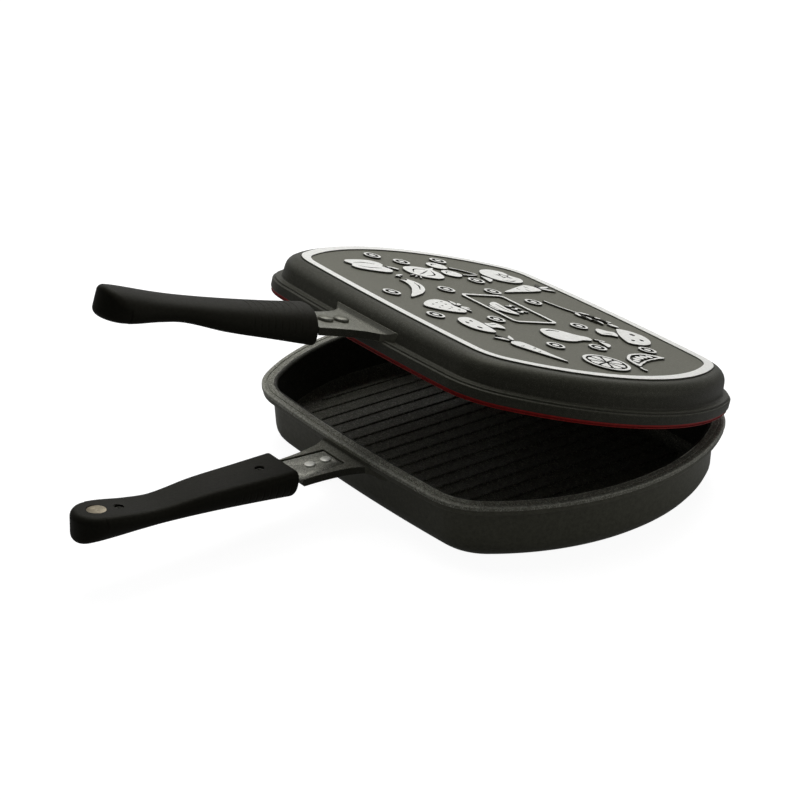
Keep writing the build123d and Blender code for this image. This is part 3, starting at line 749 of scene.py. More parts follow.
# %% Figures
bowed = [(-26, 5), (-14, -3), (0, -6), (14, -3), (26, 5)]
figures = {
    "carrot": [
        loop((-7.5, 15), (-4, 19), (0, 20), (4, 19), (7.5, 15), (6.5, 4), (3.6, -12), (0, -28),
             (-3.6, -12), (-6.5, 4)),
        stroke([(-5.4, 10), (-3, 9.2), (-0.6, 9.4)], [0.3, 0.7, 0.3]),
        stroke([(5, 3), (3, 2.2), (0.8, 2.6)], [0.3, 0.7, 0.3]),
        stroke([(-3.8, -4), (-2, -4.8), (-0.2, -4.4)], [0.3, 0.6, 0.3]),
        stroke([(0, 22), (-2, 27), (-7, 32)], [0.8, 2.3, 0.3]),
        stroke([(1.6, 22), (2, 29), (2, 36)], [0.7, 2.2, 0.3]),
        stroke([(3.6, 21.4), (7, 26), (12, 30)], [0.6, 2.2, 0.3])],
    "mushroom": [
        loop((-19, -1), (-18, 8), (-11, 15.5), (0, 18), (11, 15.5), (18, 8), (19, -1), (12, -3.6),
             (0, -4.6), (-12, -3.6)),
        ellipse(-8, 7, 2.6, 2.0, 20), ellipse(4, 11, 2.2, 1.7), ellipse(9, 3.5, 1.9, 1.5, -20),
        loop((-5, -6.6), (5, -6.6), (5.4, -12), (7.4, -19), (0, -21.6), (-7.4, -19), (-5.4, -12)),
        stroke([(1.5, -9.5), (1.8, -13), (3, -17)], [0.3, 0.6, 0.3])],
    "pea_pod": [
        stroke(bowed, [0.5, 6.8, 8.2, 6.8, 0.5]),
        stroke([(-20, 1.6), (-12, -3.3), (0, -5.6), (12, -3.3), (20, 1.6)],
               [0.3, 4.9, 6.4, 4.9, 0.3]),
        ellipse(-13, -2.9, 2.9), ellipse(-6.6, -5, 3.2), ellipse(0.4, -5.6, 3.5),
        ellipse(7.5, -4.9, 3.2), ellipse(13.8, -2.6, 2.8),
        stroke([(27.6, 6.4), (31, 9.5), (32, 13)], [1.0, 0.8, 1.1])],
    "onion": [
        loop((0, 22), (2.2, 15), (9, 10.5), (15, 2), (14.5, -7), (8, -14), (0, -16), (-8, -14),
             (-14.5, -7), (-15, 2), (-9, 10.5), (-2.2, 15)),
        stroke([(-2, 10), (-8, 0), (-5, -10.5)], [0.2, 0.75, 0.2]),
        stroke([(2, 10), (8, 0), (5, -10.5)], [0.2, 0.75, 0.2]),
        stroke([(0, 8), (0.5, -2), (0, -12)], [0.2, 0.65, 0.2]),
        stroke([(-2.4, -18), (-4, -22)], [0.6, 0.4]), stroke([(0, -18.2), (0, -23)], [0.6, 0.4]),
        stroke([(2.4, -18), (4, -22)], [0.6, 0.4])],
    "chili": [
        stroke([(-20, 7), (-11, 9), (0, 5), (11, -4), (22, -17)], [3.4, 5.4, 5.0, 3.6, 0.3]),
        stroke([(-12, 11), (-3, 8.4), (5, 3)], [0.2, 0.7, 0.2]),
        stroke([(-25.2, 7.4), (-28.6, 9.6), (-30.6, 14)], [2.0, 1.1, 1.0])],
    "pear": [
        loop((0, 17), (4, 15), (6, 8.5), (11.5, 0), (13, -8.5), (9, -16), (0, -18.5), (-9, -16),
             (-13, -8.5), (-11.5, 0), (-6, 8.5), (-4, 15)),
        stroke([(-8.2, -2.5), (-9.4, -8.5), (-6, -13.5)], [0.3, 1.1, 0.3]),
        stroke([(0, 18.8), (0.5, 22), (2.2, 25)], [0.8, 0.8, 1.1]),
        stroke([(3.6, 21), (9, 24), (15.5, 22.5)], [0.3, 3.0, 0.3])],
    "wheat": [
        stroke([(0, -30), (1.2, -15), (0, 0)], [0.8, 0.8, 0.8]),
        ellipse(0, 29.5, 2.1, 4.6)] + [
        ellipse(side * 4.3, 2.5 + 4.7 * k, 1.75, 3.9, -side * 30, 18)
        for k in range(5) for side in (-1, 1)],
    "lemon_slice": [ellipse(0, 0, 16.5, steps=48), ellipse(0, 0, 14.2, steps=48)] + [
        wedge(1.8, 12.8, 45 * k, 18) for k in range(8)],
    "tomato": [
        loop((0, 12.5), (9, 14.5), (16, 7), (16, -4), (9, -13), (0, -15), (-9, -13), (-16, -4),
             (-16, 7), (-9, 14.5)),
        star(0, 4.5, 5, 7.4, 3.4), star(0, 4.5, 5, 5.2, 1.9),
        stroke([(12, 4), (12.6, -3), (8, -9)], [0.2, 0.9, 0.2])],
    "cherries": [
        ellipse(-9, -10, 7.6), stroke([(-13, -8), (-12, -12.6), (-8.6, -14)], [0.2, 0.8, 0.2]),
        ellipse(9.5, -7, 7.6), stroke([(5.5, -5), (6.5, -9.6), (9.9, -11)], [0.2, 0.8, 0.2]),
        stroke([(-7.8, -1), (-4, 8), (2, 15.5)], [0.65, 0.65, 0.8]),
        stroke([(9, 2), (7.8, 9), (5, 15.2)], [0.65, 0.65, 0.8]),
        stroke([(6.8, 17.6), (13, 20.5), (20.5, 18)], [0.3, 3.3, 0.3])],
    "pepper": [
        loop((0, 11.5), (5, 14.6), (11, 14), (15, 8), (14, -3), (10.4, -14), (5, -17), (0, -14.4),
             (-5, -17), (-10.4, -14), (-14, -3), (-15, 8), (-11, 14), (-5, 14.6)),
        stroke([(-5, 8.5), (-6.4, -2), (-4, -11)], [0.2, 0.75, 0.2]),
        stroke([(5, 8.5), (6.4, -2), (4, -11)], [0.2, 0.75, 0.2]),
        stroke([(0, 14.8), (0, 19), (3, 22)], [1.3, 1.2, 1.7])],
    "strawberry": [
        loop((0, 8.5), (8, 10.5), (13.6, 6), (12.6, -3), (7, -12.5), (0, -18), (-7, -12.5),
             (-12.6, -3), (-13.6, 6), (-8, 10.5))] + [
        ellipse(x, y, 0.65, 1.15, steps=12) for x, y in (
            (-8.6, 4.6), (-3, 3.4), (3, 3.4), (8.6, 4.6), (-6.4, -1.8), (0, -2.6), (6.4, -1.8),
            (-3.3, -8), (3.3, -8))] + [
        stroke([(sin(radians(a)) * 2.4, 11.6 + cos(radians(a)) * 1.2),
                (sin(radians(a)) * 7, 12.4 + cos(radians(a)) * 4),
                (sin(radians(a)) * 11.5, 12.2 + cos(radians(a)) * 6)], [0.5, 1.7, 0.3])
        for a in (-74, -30, 30, 74)],
    "bowl": [
        loop((-13, -1), (0, -1.6), (13, -1), (11, -7.5), (5, -11.5), (-5, -11.5), (-11, -7.5)),
        stroke([(-9, -4.6), (0, -5.4), (9, -4.6)], [0.2, 0.6, 0.2]),
        stroke([(-5, -13.4), (0, -13.7), (5, -13.4)], [0.8, 0.8, 0.8])] + [
        stroke([(x, 2), (x + 1.6, 5), (x - 1.2, 8), (x + 0.6, 11.5)], [0.5, 0.9, 0.9, 0.3])
        for x in (-6.5, 0, 6.5)],
}
frame_corner = 5.0


def rounded_box(wide, high, radius):
    """Rounded rectangle about the origin."""
    points = []
    for sx, sy, start in ((1, 1, 0), (-1, 1, pi / 2), (-1, -1, pi), (1, -1, 1.5 * pi)):
        points += arc((sx * (wide - radius), sy * (high - radius)), radius, start, pi / 2, 6)
        points.append((sx * (wide - radius) + radius * cos(start + pi / 2),
                       sy * (high - radius) + radius * sin(start + pi / 2)))
    return points


figures["plaque"] = [rounded_box(31, 19, frame_corner), rounded_box(28.6, 16.6, frame_corner - 2)]
print("figures:", len(figures), "outlines:", sum(len(f) for f in figures.values()))

# %% [markdown]
# Every figure gets a place, a turn and a scale on the panel. The ground tops end in a dark line
# of coating all round, so each outer outline is drawn once more, a little wider and almost flat.
# A last check measures how far each outline stays inside the ring, by the distance from its
# points to the panel's own edge.

# %% Figures on the panel
figure_scale, figure_height = 1.13, 1.5
border_width, border_height = 0.7, 0.12
border_step = 0.001        # each border is this much higher than the one before it
upright = 0.5              # faces with a smaller share of their normal along Z stand upright
panel_frame = (upper_half @ Matrix.Translation((0, 0, panel_level * MM))
               @ Matrix.Rotation(pi, 4, "Y"))
layout = (
    ("carrot", -57, 65, 21, 0.92), ("tomato", -93, 70, 16, 0.95), ("wheat", 3, 72, -71, 0.95),
    ("mushroom", 60, 71, -28, 0.95), ("pea_pod", 118, 40, -64, 0.85),
    ("onion", -91, -9, 37, 0.95), ("cherries", -101, 29, -11, 1.0), ("plaque", 0, 4, 0, 1.0),
    ("bowl", 0, 4, 0, 1.0), ("pear", 66, 8, -16, 1.0), ("lemon_slice", 127, -7, 2, 0.95),
    ("pepper", -101, -56, -5, 0.95), ("chili", -44, -56, 1, 1.0), ("strawberry", 2, -59, 6, 1.0),
    ("mushroom", 47, -60, 178, 0.8), ("carrot", 103, -54, 111, 0.85))


def raised(name, outlines, height, place, top, side):
    """Pull flat outlines up into islands with one finish on top and another on the sides."""
    curve = bpy.data.curves.new(name, "CURVE")
    curve.dimensions = "2D"
    curve.fill_mode = "BOTH"
    curve.extrude = height / 2 * MM
    for outline_points in outlines:
        spline = curve.splines.new("POLY")
        spline.points.add(len(outline_points) - 1)
        for point, (x, y) in zip(spline.points, outline_points):
            point.co = (x * MM, y * MM, 0, 1)
        spline.use_cyclic_u = True
    flat = add_object(name, curve)
    view = bpy.context.evaluated_depsgraph_get()
    mesh = bpy.data.meshes.new_from_object(flat.evaluated_get(view), depsgraph=view)
    bpy.data.objects.remove(flat)
    mesh.materials.clear()
    for finish in (top, side):
        mesh.materials.append(finish)
    obj = edit(add_object(name, mesh), weld(1e-6), outward)
    mesh.polygons.foreach_set(
        "material_index", [0 if face.normal.z > upright else 1 for face in mesh.polygons])
    shade(mesh, False)
    mesh.transform(place @ Matrix.Translation((0, 0, height / 2 * MM)))
    return obj


def inside_of(point, outline_points):
    """Whether a point lies inside an outline."""
    x, y = point
    hits = False
    for (ax, ay), (bx, by) in zip(outline_points, outline_points[1:] + outline_points[:1]):
        if (ay > y) != (by > y) and x < (bx - ax) * (y - ay) / (by - ay) + ax:
            hits = not hits
    return hits


def widened(outline_points, reach):
    """An outline moved outwards by reach."""
    pairs = list(zip(outline_points[-1:] + outline_points[:-1], outline_points,
                     outline_points[1:] + outline_points[:1]))
    area = sum(ax * cy - ay * cx for (ax, ay), _, (cx, cy) in pairs)
    moved = []
    for (ax, ay), (x, y), (cx, cy) in pairs:
        long = max(hypot(cx - ax, cy - ay), 1e-6)
        way = reach / long * (1 if area > 0 else -1)
        moved.append((x + (cy - ay) * way, y - (cx - ax) * way))
    return moved


def laid(outline_points, x, y, turn, scale):
    """An outline at its place on the panel, turned and scaled."""
    spin = Matrix.Rotation(radians(turn), 2) * scale
    return [tuple(Vector((x, y)) + spin @ Vector(p)) for p in outline_points]


panel_edge = [Vector(p) for p in outline(ring_inset + ring_width)]
drawn, borders, rooms = [], [], []
for kind, x, y, turn, scale in layout:
    placed = [laid(points, x, y, turn, scale * figure_scale) for points in figures[kind]]
    if kind != "plaque":
        borders += [points for points in placed if not any(
            inside_of(points[0], other) for other in placed if other is not points)]
    rooms.append(min((Vector(p) - q).length
                     for points in placed for p in points for q in panel_edge))
    drawn += placed
lid_figures = raised("lid_figures", drawn, figure_height, panel_frame, bare, coating)
keep(lid_figures, "lid", "pan_coating", "lid_pan")
points, faces = [], []
for order, border in enumerate(borders):
    edge, first = widened(border, border_width), len(points)
    count, top = len(edge), border_height + border_step * order
    points += [(px, py, level) for level in (0.0, top) for px, py in edge]
    faces += [tuple(range(first, first + count)),
              tuple(range(first + count, first + 2 * count))] + band(first, count)
lid_borders = edit(new_piece("figure_borders", points, faces, panel_frame, [coating]), outward)
shade(lid_borders.data, False)
keep(lid_borders, "lid", "pan_coating", "lid_pan")
print("figures:", len(layout), "closest to the ring:", round(min(rooms), 1), "mm")

# %% [markdown]
# Small ring marks fill the room between the figures. They are all the same, so a tree sets one
# shape on a list of points. Its last two nodes give the sides their coating and the tops, which
# face up, their bright finish.

# %% Ring marks
mark_radius, mark_band, mark_dot, mark_steps = 7.0, 1.9, 2.6, 40
marks = new_tree(
    "ring_marks", ("Places", "Object", None), ("Outer", "Float", 0.006),
    ("Band", "Float", 0.0012), ("Dot", "Float", 0.0022), ("Height", "Float", 0.0011),
    ("Border", "Float", 0.0007), ("Border Height", "Float", 0.0001), ("Side", "Material", None),
    ("Top", "Material", None))


def filled(*radii):
    """A flat face inside circles of these radii. A circle inside another is a hole."""
    circles = [node(marks, "GeometryNodeCurvePrimitiveCircle", (
        ("Resolution", mark_steps), ("Radius", radius))) for radius in radii]
    joined = node(marks, "GeometryNodeJoinGeometry", [(0, made) for made in circles])
    return node(marks, "GeometryNodeFillCurve", ((0, joined),))


def higher(value, limit):
    """Whether a value is greater than a limit."""
    return node(marks, "FunctionNodeCompare", ((0, value), (1, limit)), operation="GREATER_THAN")


rings = filled("Outer", maths(marks, "SUBTRACT", "Outer", "Band"), "Dot")
up = node(marks, "ShaderNodeCombineXYZ", (("Z", "Height"),))
solid = node(marks, "GeometryNodeExtrudeMesh", (
    ("Mesh", rings), ("Offset", up), ("Offset Scale", 1.0), ("Individual", False)))
under = node(marks, "GeometryNodeFlipFaces", (("Mesh", rings),))
lift = node(marks, "ShaderNodeCombineXYZ", (("Z", "Border Height"),))
low_plate = node(marks, "GeometryNodeTransform", (
    ("Geometry", filled(maths(marks, "ADD", "Outer", "Border"))), ("Translation", lift)))
closed = node(marks, "GeometryNodeJoinGeometry", ((0, solid), (0, under), (0, low_plate)))
welded = node(marks, "GeometryNodeMergeByDistance", (("Geometry", closed), ("Distance", 0.00001)))
places = node(marks, "GeometryNodeObjectInfo", (("Object", "Places"),))
copies = node(marks, "GeometryNodeInstanceOnPoints", (
    ("Points", places.outputs["Geometry"]), ("Instance", welded)))
sides = realized(marks, copies, "Side")
facing = node(marks, "ShaderNodeSeparateXYZ", ((0, node(marks, "GeometryNodeInputNormal")),))
level = node(marks, "ShaderNodeSeparateXYZ", ((0, node(marks, "GeometryNodeInputPosition")),))
is_top = node(marks, "FunctionNodeBooleanMath", (
    (0, higher(facing.outputs["Z"], upright)),
    (1, higher(level.outputs["Z"], maths(marks, "MULTIPLY", "Border Height", 2.0)))),
    operation="AND")
tops = node(marks, "GeometryNodeSetMaterial", (
    ("Geometry", sides), ("Selection", is_top), ("Material", "Top")))
node(marks, "NodeGroupOutput", ((0, tops),))

mark_places = ((-130, 34), (-76, 32), (-22, 47), (38, 43), (93, 64), (91, 16), (-119, -11),
               (-45, -22), (30, -32), (90, -24), (-29, -86), (26, -86), (-133, -30), (-46, 25))
spots = new_piece("mark_places", [(x, y, 0) for x, y in mark_places], [],
                  Matrix.Identity(4), [])
ring_marks = grown("ring_marks", marks, {
    "Places": spots, "Outer": mark_radius * MM, "Band": mark_band * MM, "Dot": mark_dot * MM,
    "Height": figure_height * MM, "Border": border_width * MM,
    "Border Height": border_height * MM, "Side": coating, "Top": bare}, panel_frame)
bpy.data.objects.remove(spots)
keep(ring_marks, "lid", "pan_coating", "lid_pan")

# %% [markdown]
# ## The gasket
# A ring of soft silicone with a tongue pressed into the lid's groove. Its outer side has a waist
# between two lips, which shows as two thin red lines under the lid's rim.

# %% Gasket
seal_inset, seal_width = 0.9, 8.4
seal_gap, tongue = 0.15, 3.2
seal_top = rim_level + rim_gap - seal_gap
waist, waist_height = 0.8, 0.7
waist_low = (rim_level + seal_top - waist_height) / 2
waist_high = waist_low + waist_height
seal_end = seal_inset + seal_width
tongue_near, tongue_far = seal_near + seal_gap, seal_far - seal_gap
gasket_corners = [(*corner, "silicone") for corner in (
    (seal_inset, rim_level, 0.25),
    (tongue_near, rim_level, 0),
    (tongue_near, rim_level - tongue, 0.4),
    (tongue_far, rim_level - tongue, 0.4),
    (tongue_far, rim_level, 0),
    (seal_end, rim_level, 0.3),
    (seal_end, seal_top, 1.0),
    (seal_inset, seal_top, 0.9),
    (seal_inset, waist_high, 0.25),
    (seal_inset + waist, waist_high, 0.15),
    (seal_inset + waist, waist_low, 0.15),
    (seal_inset, waist_low, 0.25),
)]
gasket = swept("gasket_ring", gasket_corners, upper_half, {"silicone": silicone}, closed=True)
keep(gasket, "lid", "gasket_rubber", "gasket")

# %% [markdown]
# ## Lugs, ears and arms
# Each pan has a cast lug for its handle, and at the back ears or arms for the hinge. They are
# plates cut to an outline, so each starts as a prism and has its edges softened by a bevel, as a
# casting has no sharp edge anywhere. A boolean cuts the tang's pocket into the lug. The sides of
# a lug are hollowed and flare into the wall, and a low ridge with a hollow slope runs along its
# root. A lug's faces get several finishes by how far they lean, as painted light and shade: faces
# that face up are painted light, a band on the ridge's slope a middle shade, the steep faces dark,
# and the flares as light as the painted wall.

# %% Prisms, cuts and soft edges
def prism(name, polygon, low, high, place, material):
    """A polygon in the frame's XY plane, pulled from low to high along its Z axis."""
    count = len(polygon)
    points = [(x, y, z) for z in (low, high) for x, y in polygon]
    faces = [tuple(reversed(range(count))), tuple(range(count, 2 * count))] + band(0, count)
    return edit(new_piece(name, points, faces, place, [material]), outward)


def cut(obj, *cutters):
    """Subtract closed meshes from an object."""
    for cutter in cutters:
        modifier = obj.modifiers.new("cut", "BOOLEAN")
        modifier.object = cutter
        modifier.solver = "EXACT"
    plain(obj)
    for cutter in cutters:
        bpy.data.objects.remove(cutter)
    return obj


def soften(obj, width, steps=3, angle=30):
    """Round every edge sharper than an angle, and shade the rest smooth."""
    modifier = obj.modifiers.new("soft edges", "BEVEL")
    modifier.width = width * MM
    modifier.segments = steps
    modifier.limit_method = "ANGLE"
    modifier.angle_limit = radians(angle)
    modifier.harden_normals = True
    plain(obj)
    shade(obj.data, True)
    return obj


def hull(points):
    """Convex hull of points in a plane, anticlockwise."""
    def chain(ordered):
        """One side of the hull, without its last point."""
        line = []
        for p in ordered:
            while len(line) > 1 and ((line[-1][0] - line[-2][0]) * (p[1] - line[-2][1])
                                     <= (line[-1][1] - line[-2][1]) * (p[0] - line[-2][0])):
                line.pop()
            line.append(p)
        return line[:-1]
    ordered = sorted(set(points))
    return chain(ordered) + chain(ordered[::-1])


def circle(x, y, radius, steps=32):
    """Points round a circle, anticlockwise."""
    return arc((x, y), radius, 0, 2 * pi, steps)


sideways = 0.8             # upright faces with a smaller share along X are where a lug flares


def painted_light_and_shade_by_tilt(obj, place, finishes, flared):
    """Painted light and shade: give faces other finishes by how far they lean from the frame's Z
    axis.

    finishes holds (share of the normal along Z, finish), the smallest share first. Upright
    faces that turn away from the X axis, where a lug flares into the wall, get flared.
    """
    up = (place.to_3x3() @ Vector((0, 0, 1))).normalized()
    for finish in [finish for _, finish in finishes] + [flared]:
        obj.data.materials.append(finish)
    for face in obj.data.polygons:
        along = abs(face.normal.dot(up))
        face.material_index = next(
            (k + 1 for k, (most, _) in enumerate(finishes) if along < most), 0)
        if along < upright and abs(face.normal.x) < sideways:
            face.material_index = len(finishes) + 1
    return obj


print("corners of a square's hull:", len(hull([(0, 0), (2, 0), (2, 2), (0, 2), (1, 1)])))

# %% Lugs
lug_top, lug_thickness = 8.4, 6.0
lug_foot = -lug_top - lug_thickness
lug_end = half_width + 46.3
lug_root = half_width - 10.4
lug_end_half = 19.2
lug_splay, lug_flare = 9.0, 16.0        # how its sides spread: evenly, and close to the wall
gusset_rise, gusset_reach = 3.4, 10.0
gusset_rows = ((0.0, 1.0), (0.36, 1.0), (0.44, 0.72), (0.54, 0.42), (0.68, 0.2), (0.84, 0.06),
               (1.0, 0.0))             # (share of its reach, share of its rise)
pocket_start, pocket_deep = half_width + 8.3, 3.6
pocket_start_half, pocket_end_half = 13.1, 17.2
pocket_play = 0.7          # the gap round the tang that shows as a dark line
lug_steps = 22
overlap = 1.0              # how far a cutter, or a piece that is sunk in another, runs past it
plate_edge, gusset_edge = 0.6, 0.5
# Painted light and shade by tilt: faces that face up keep the light lug finish, leaning ones the
# dark coating, and a band of the ridge's slope the inside finish as a middle shade.
plate_painted_shade = ((upright, coating),)
gusset_painted_shade = ((0.93, coating), (0.985, inside))


def lug_half(y):
    """Half the lug's width at a distance y from the pan's middle."""
    share = (lug_end - y) / (lug_end - lug_root)
    return lug_end_half + lug_splay * share**2 + lug_flare * share**8


def lug_side(side):
    """Points down one hollowed side of the lug, from its end to its root."""
    places = [lug_end - (lug_end - lug_root) * step / lug_steps for step in range(lug_steps + 1)]
    return [(side * lug_half(y), -y) for y in places]


def make_lug(name, body, half, node_name):
    """The lug's plate, with the pocket for the tang and a ridge along its root."""
    plate = prism(f"{name}_lug", lug_side(1) + lug_side(-1)[::-1], lug_foot, -lug_top, half,
                  lug_painted_light)
    near, wide = pocket_start - pocket_play, pocket_end_half + pocket_play
    narrow = pocket_start_half + pocket_play
    pocket = [(-narrow, -near), (-wide, -lug_end - overlap), (wide, -lug_end - overlap),
              (narrow, -near)]
    cut(plate, prism("pocket", pocket, -lug_top - pocket_deep, -lug_top + overlap, half,
                     lug_painted_light))
    keep(painted_light_and_shade_by_tilt(soften(plate, plate_edge), half, plate_painted_shade, wall_painted_light), body,
         "pan_coating", node_name)
    points, faces = [], []
    for back, rise in gusset_rows:
        y = lug_root + gusset_reach * back
        points += [(x, -y, z) for x in (-lug_half(y), lug_half(y))
                   for z in (lug_foot + overlap, lug_foot - gusset_rise * rise)]
    for k in range(0, len(points) - 4, 4):
        faces += [(k, k + 1, k + 5, k + 4), (k + 2, k + 6, k + 7, k + 3),
                  (k + 1, k + 3, k + 7, k + 5), (k, k + 4, k + 6, k + 2)]
    last = len(points) - 4
    faces += [(0, 2, 3, 1), (last, last + 1, last + 3, last + 2)]
    gusset = edit(new_piece(f"{name}_lug_gusset", points, faces, half, [lug_painted_light]), outward)
    soften(gusset, gusset_edge, angle=40)
    keep(painted_light_and_shade_by_tilt(gusset, half, gusset_painted_shade, wall_painted_light), body, "pan_coating", node_name)


make_lug("lower", "base", lower_half, "bottom_pan")
make_lug("upper", "lid", upper_half, "lid_pan")

# %% Hinge ears and arms
hinge_y, hinge_z = hinge_point.y / MM, hinge_point.z / MM
hinge_spacing = 124.0
knuckle_radius, knuckle_width = 7.2, 14.0
ear_thickness, ear_gap = 7.0, 0.3
ear_root_y, ear_drop, ear_root_radius = half_width - 7.7, 16.0, 3.0
arm_root_y = half_width - 4.2
arm_gap, arm_height = 0.3, 6.5
knuckle_steps, ear_edge = 48, 0.7
side_on = Matrix(((0, 0, 1, 0), (1, 0, 0, 0), (0, 1, 0, 0), (0, 0, 0, 1)))

ear_outline = hull(circle(hinge_y, hinge_z - parting, knuckle_radius, knuckle_steps)
                   + circle(ear_root_y, -ear_drop, ear_root_radius))
arm_near = rim_level - arm_gap
arm_far = arm_near - arm_height
knuckle_level = parting - hinge_z


def on_knuckle(level):
    """Angle of the point of the knuckle at a level, on the pan's side of its axis."""
    return pi - asin(max(min((level - knuckle_level) / knuckle_radius, 1.0), -1.0))


turn_from, turn_to = on_knuckle(arm_near), on_knuckle(arm_far) - 2 * pi
arm_outline = ([(arm_root_y, arm_far), (arm_root_y, arm_near)]
               + arc((hinge_y, knuckle_level), knuckle_radius, turn_from, turn_to - turn_from,
                     knuckle_steps)
               + arc((hinge_y, knuckle_level), knuckle_radius, turn_to, 0, 1))
for side, name in ((-1, "left"), (1, "right")):
    middle = side * hinge_spacing / 2
    for way, where in ((-1, "a"), (1, "b")):
        near = middle + way * (knuckle_width / 2 + ear_gap)
        far = near + way * ear_thickness
        ear = prism(f"hinge_ear_{name}_{where}", ear_outline, min(near, far), max(near, far),
                    lower_half @ side_on, coating)
        keep(soften(ear, ear_edge), "base", "pan_coating", "bottom_pan")
    arm = prism(f"hinge_arm_{name}", arm_outline, -middle - knuckle_width / 2,
                -middle + knuckle_width / 2, upper_half @ side_on, coating)
    keep(soften(arm, ear_edge), "lid", "pan_coating", "lid_pan")

# %% [markdown]
# ## Small turned and bent parts
# The tangs, screws, magnets, pins and clips already have the right shape as solids. Their
# meshes arrive as loose triangles, so a copy is joined up, its flat faces are put back together,
# its edges get a small bevel, and it is shaded smooth. Only then does it take its finish.

# %% Refined copies of small solids
part_edge_angle = 32       # edges of the small parts sharper than this are rounded, in degrees


def refined(node_name, finish, slot, body, width=0.2):
    """A smooth copy of a solid's mesh with small bevels on its sharp edges."""
    mesh = frame["nodes"][node_name].data.copy()
    mesh.materials.clear()
    mesh.materials.append(finish)
    obj = add_object(f"{node_name}_part", mesh)
    edit(obj, weld(1e-5), lambda work: bmesh.ops.dissolve_limit(
        work, angle_limit=radians(1), verts=work.verts, edges=work.edges))
    soften(obj, width, steps=2, angle=part_edge_angle)
    return keep(obj, body, slot, node_name)


for side, body in (("lower", "base"), ("upper", "lid")):
    refined(f"{side}_tang", tang_steel, "tang_steel", body, width=0.35)
    refined(f"{side}_magnet", magnet_metal, "magnet_steel", body)
    refined(f"{side}_magnet_screw", magnet_metal, "screw_steel", body, width=0.1)
    for order in ("inner", "outer"):
        refined(f"{side}_grip_screw_{order}", blackened, "screw_steel", body, width=0.15)
for side in ("left", "right"):
    refined(f"hinge_pin_{side}", hinge_metal, "hinge_steel", "base")
    refined(f"hinge_clip_{side}", hinge_metal, "hinge_steel", "base")

# %% [markdown]
# The four rivets are one shape, so one is turned on a "lathe" and a small tree sets it out in a
# row along each lug. The same tree can set out any row of equal parts.

# %% Rivets
lathe_steps = 40
near_axis = 0.0001         # the radius at which a turned shape ends on its axis


def lathed(name, section, place, material):
    """Turn a chain of (radius, height) points about the frame's Z axis."""
    points = [(x, y, height) for radius, height in section
              for x, y in circle(0, 0, radius, lathe_steps)]
    faces = [face for row in range(len(section) - 1)
             for face in band(row * lathe_steps, lathe_steps)]
    return edit(new_piece(name, points, faces, place, [material]), weld(1e-6), outward)


rivet_first, rivet_spacing = half_width + 15.1, 13.7
shank, head, head_height, tail, tail_height = 2.4, 5.9, 3.0, 4.2, 1.5
tang_thickness = 2.4
tang_top = lug_top + pocket_deep - tang_thickness
dome_steps = 9
dome_side, dome_power = 0.42, 0.65     # share of its height that is its side, and how boxy it is


def dome(radius, height, foot, lift):
    """Points of a low rounded button, from its foot to its crown. lift is 1 or -1."""
    points = [(radius, foot)]
    for step in range(dome_steps + 1):
        angle = pi / 2 * step / dome_steps
        points.append((max(radius * cos(angle) ** dome_power, near_axis),
                       foot + lift * height * (dome_side + (1 - dome_side) * sin(angle))))
    return points


row = new_tree(
    "row_of_parts", ("Part", "Object", None), ("Count", "Int", 2), ("Start", "Vector", None),
    ("Step", "Vector", None), ("Material", "Material", None))
places = node(row, "GeometryNodeMeshLine", (
    ("Count", "Count"), ("Start Location", "Start"), ("Offset", "Step")))
part = node(row, "GeometryNodeObjectInfo", (("Object", "Part"),))
copies = node(row, "GeometryNodeInstanceOnPoints", (
    ("Points", places), ("Instance", part.outputs["Geometry"])))
node(row, "NodeGroupOutput", ((0, realized(row, copies, "Material")),))

rivet_section = (dome(head, head_height, lug_foot, -1)[::-1] + [(shank, lug_foot),
                 (shank, -tang_top)] + dome(tail, tail_height, -tang_top, 1))
rivet = lathed("rivet", rivet_section, Matrix.Identity(4), rivet_metal)
for side, body, half, finish in (("lower", "base", lower_half, rivet_metal),
                                 ("upper", "lid", upper_half, dark_rivet)):
    rivets = grown(f"{side}_rivets", row, {
        "Part": rivet, "Count": 2, "Start": (0, -rivet_first * MM, 0),
        "Step": (0, -rivet_spacing * MM, 0), "Material": finish}, half)
    keep(rivets, body, "rivet_aluminium", f"{side}_rivet_inner", f"{side}_rivet_outer")
bpy.data.objects.remove(rivet)

# %% [markdown]
# ## The grips
# A grip is one moulding: a flat inner face that dips at the waist, an arched back, and a round
# end. It is built as a grid, one row for each place along the handle. Each row walks round the
# section: across the face, down the edge, and back over the arch. Near the end the rows narrow
# with the round of the tip, which leaves a vertical end wall that meets the arch in an arris.

# %% Grip surface
grip_starts = {"lower": 6.4, "upper": 3.8}      # pan end of each grip
tips = {"lower": 158.4, "upper": 154.4}         # middle of each round end
magnet_at, tip_radius = 158.0, 18.0
edge_round = 5.0
tip_round, tip_ease = 3.4, 9.0     # where the end wall meets the back, and how it sets in
arch_power = 2.25          # how square the arch of the back is
face_gap = 0.15
# each row: place along the handle, half width, dip of the inner face, depth of the back
grip_stations = (
    (min(grip_starts.values()), 21.9, face_gap, 25.8),
    (38.0, 20.4, 1.3, 23.2),
    (76.0, 18.5, 2.4, 21.2),
    (110.0, 16.5, 5.3, 20.2),
    (130.0, 17.6, 4.1, 20.4),
    (150.0, 18.8, face_gap + 1.2, 21.4),
    (164.0, 18.5, face_gap, 21.9),
    (max(tips.values()) + tip_radius + 2.0, tip_radius, face_gap, 20.9),
)
groove_count, groove_pitch, groove_first = 9, 5.6, 13.0
groove_width, groove_depth = 1.5, 0.3
groove_skirt, groove_fade = 7.0, 3.0       # where the grooves end down the sides, and how soon
end_round = 2.6            # at the pan end of the grip
round_steps, tip_steps = 6, 40             # rows at its two ends
fine_step, coarse_step = 0.35, 2.0         # between the rows, at the grooves and elsewhere
face_columns, edge_columns, arch_columns = 18, 8, 36


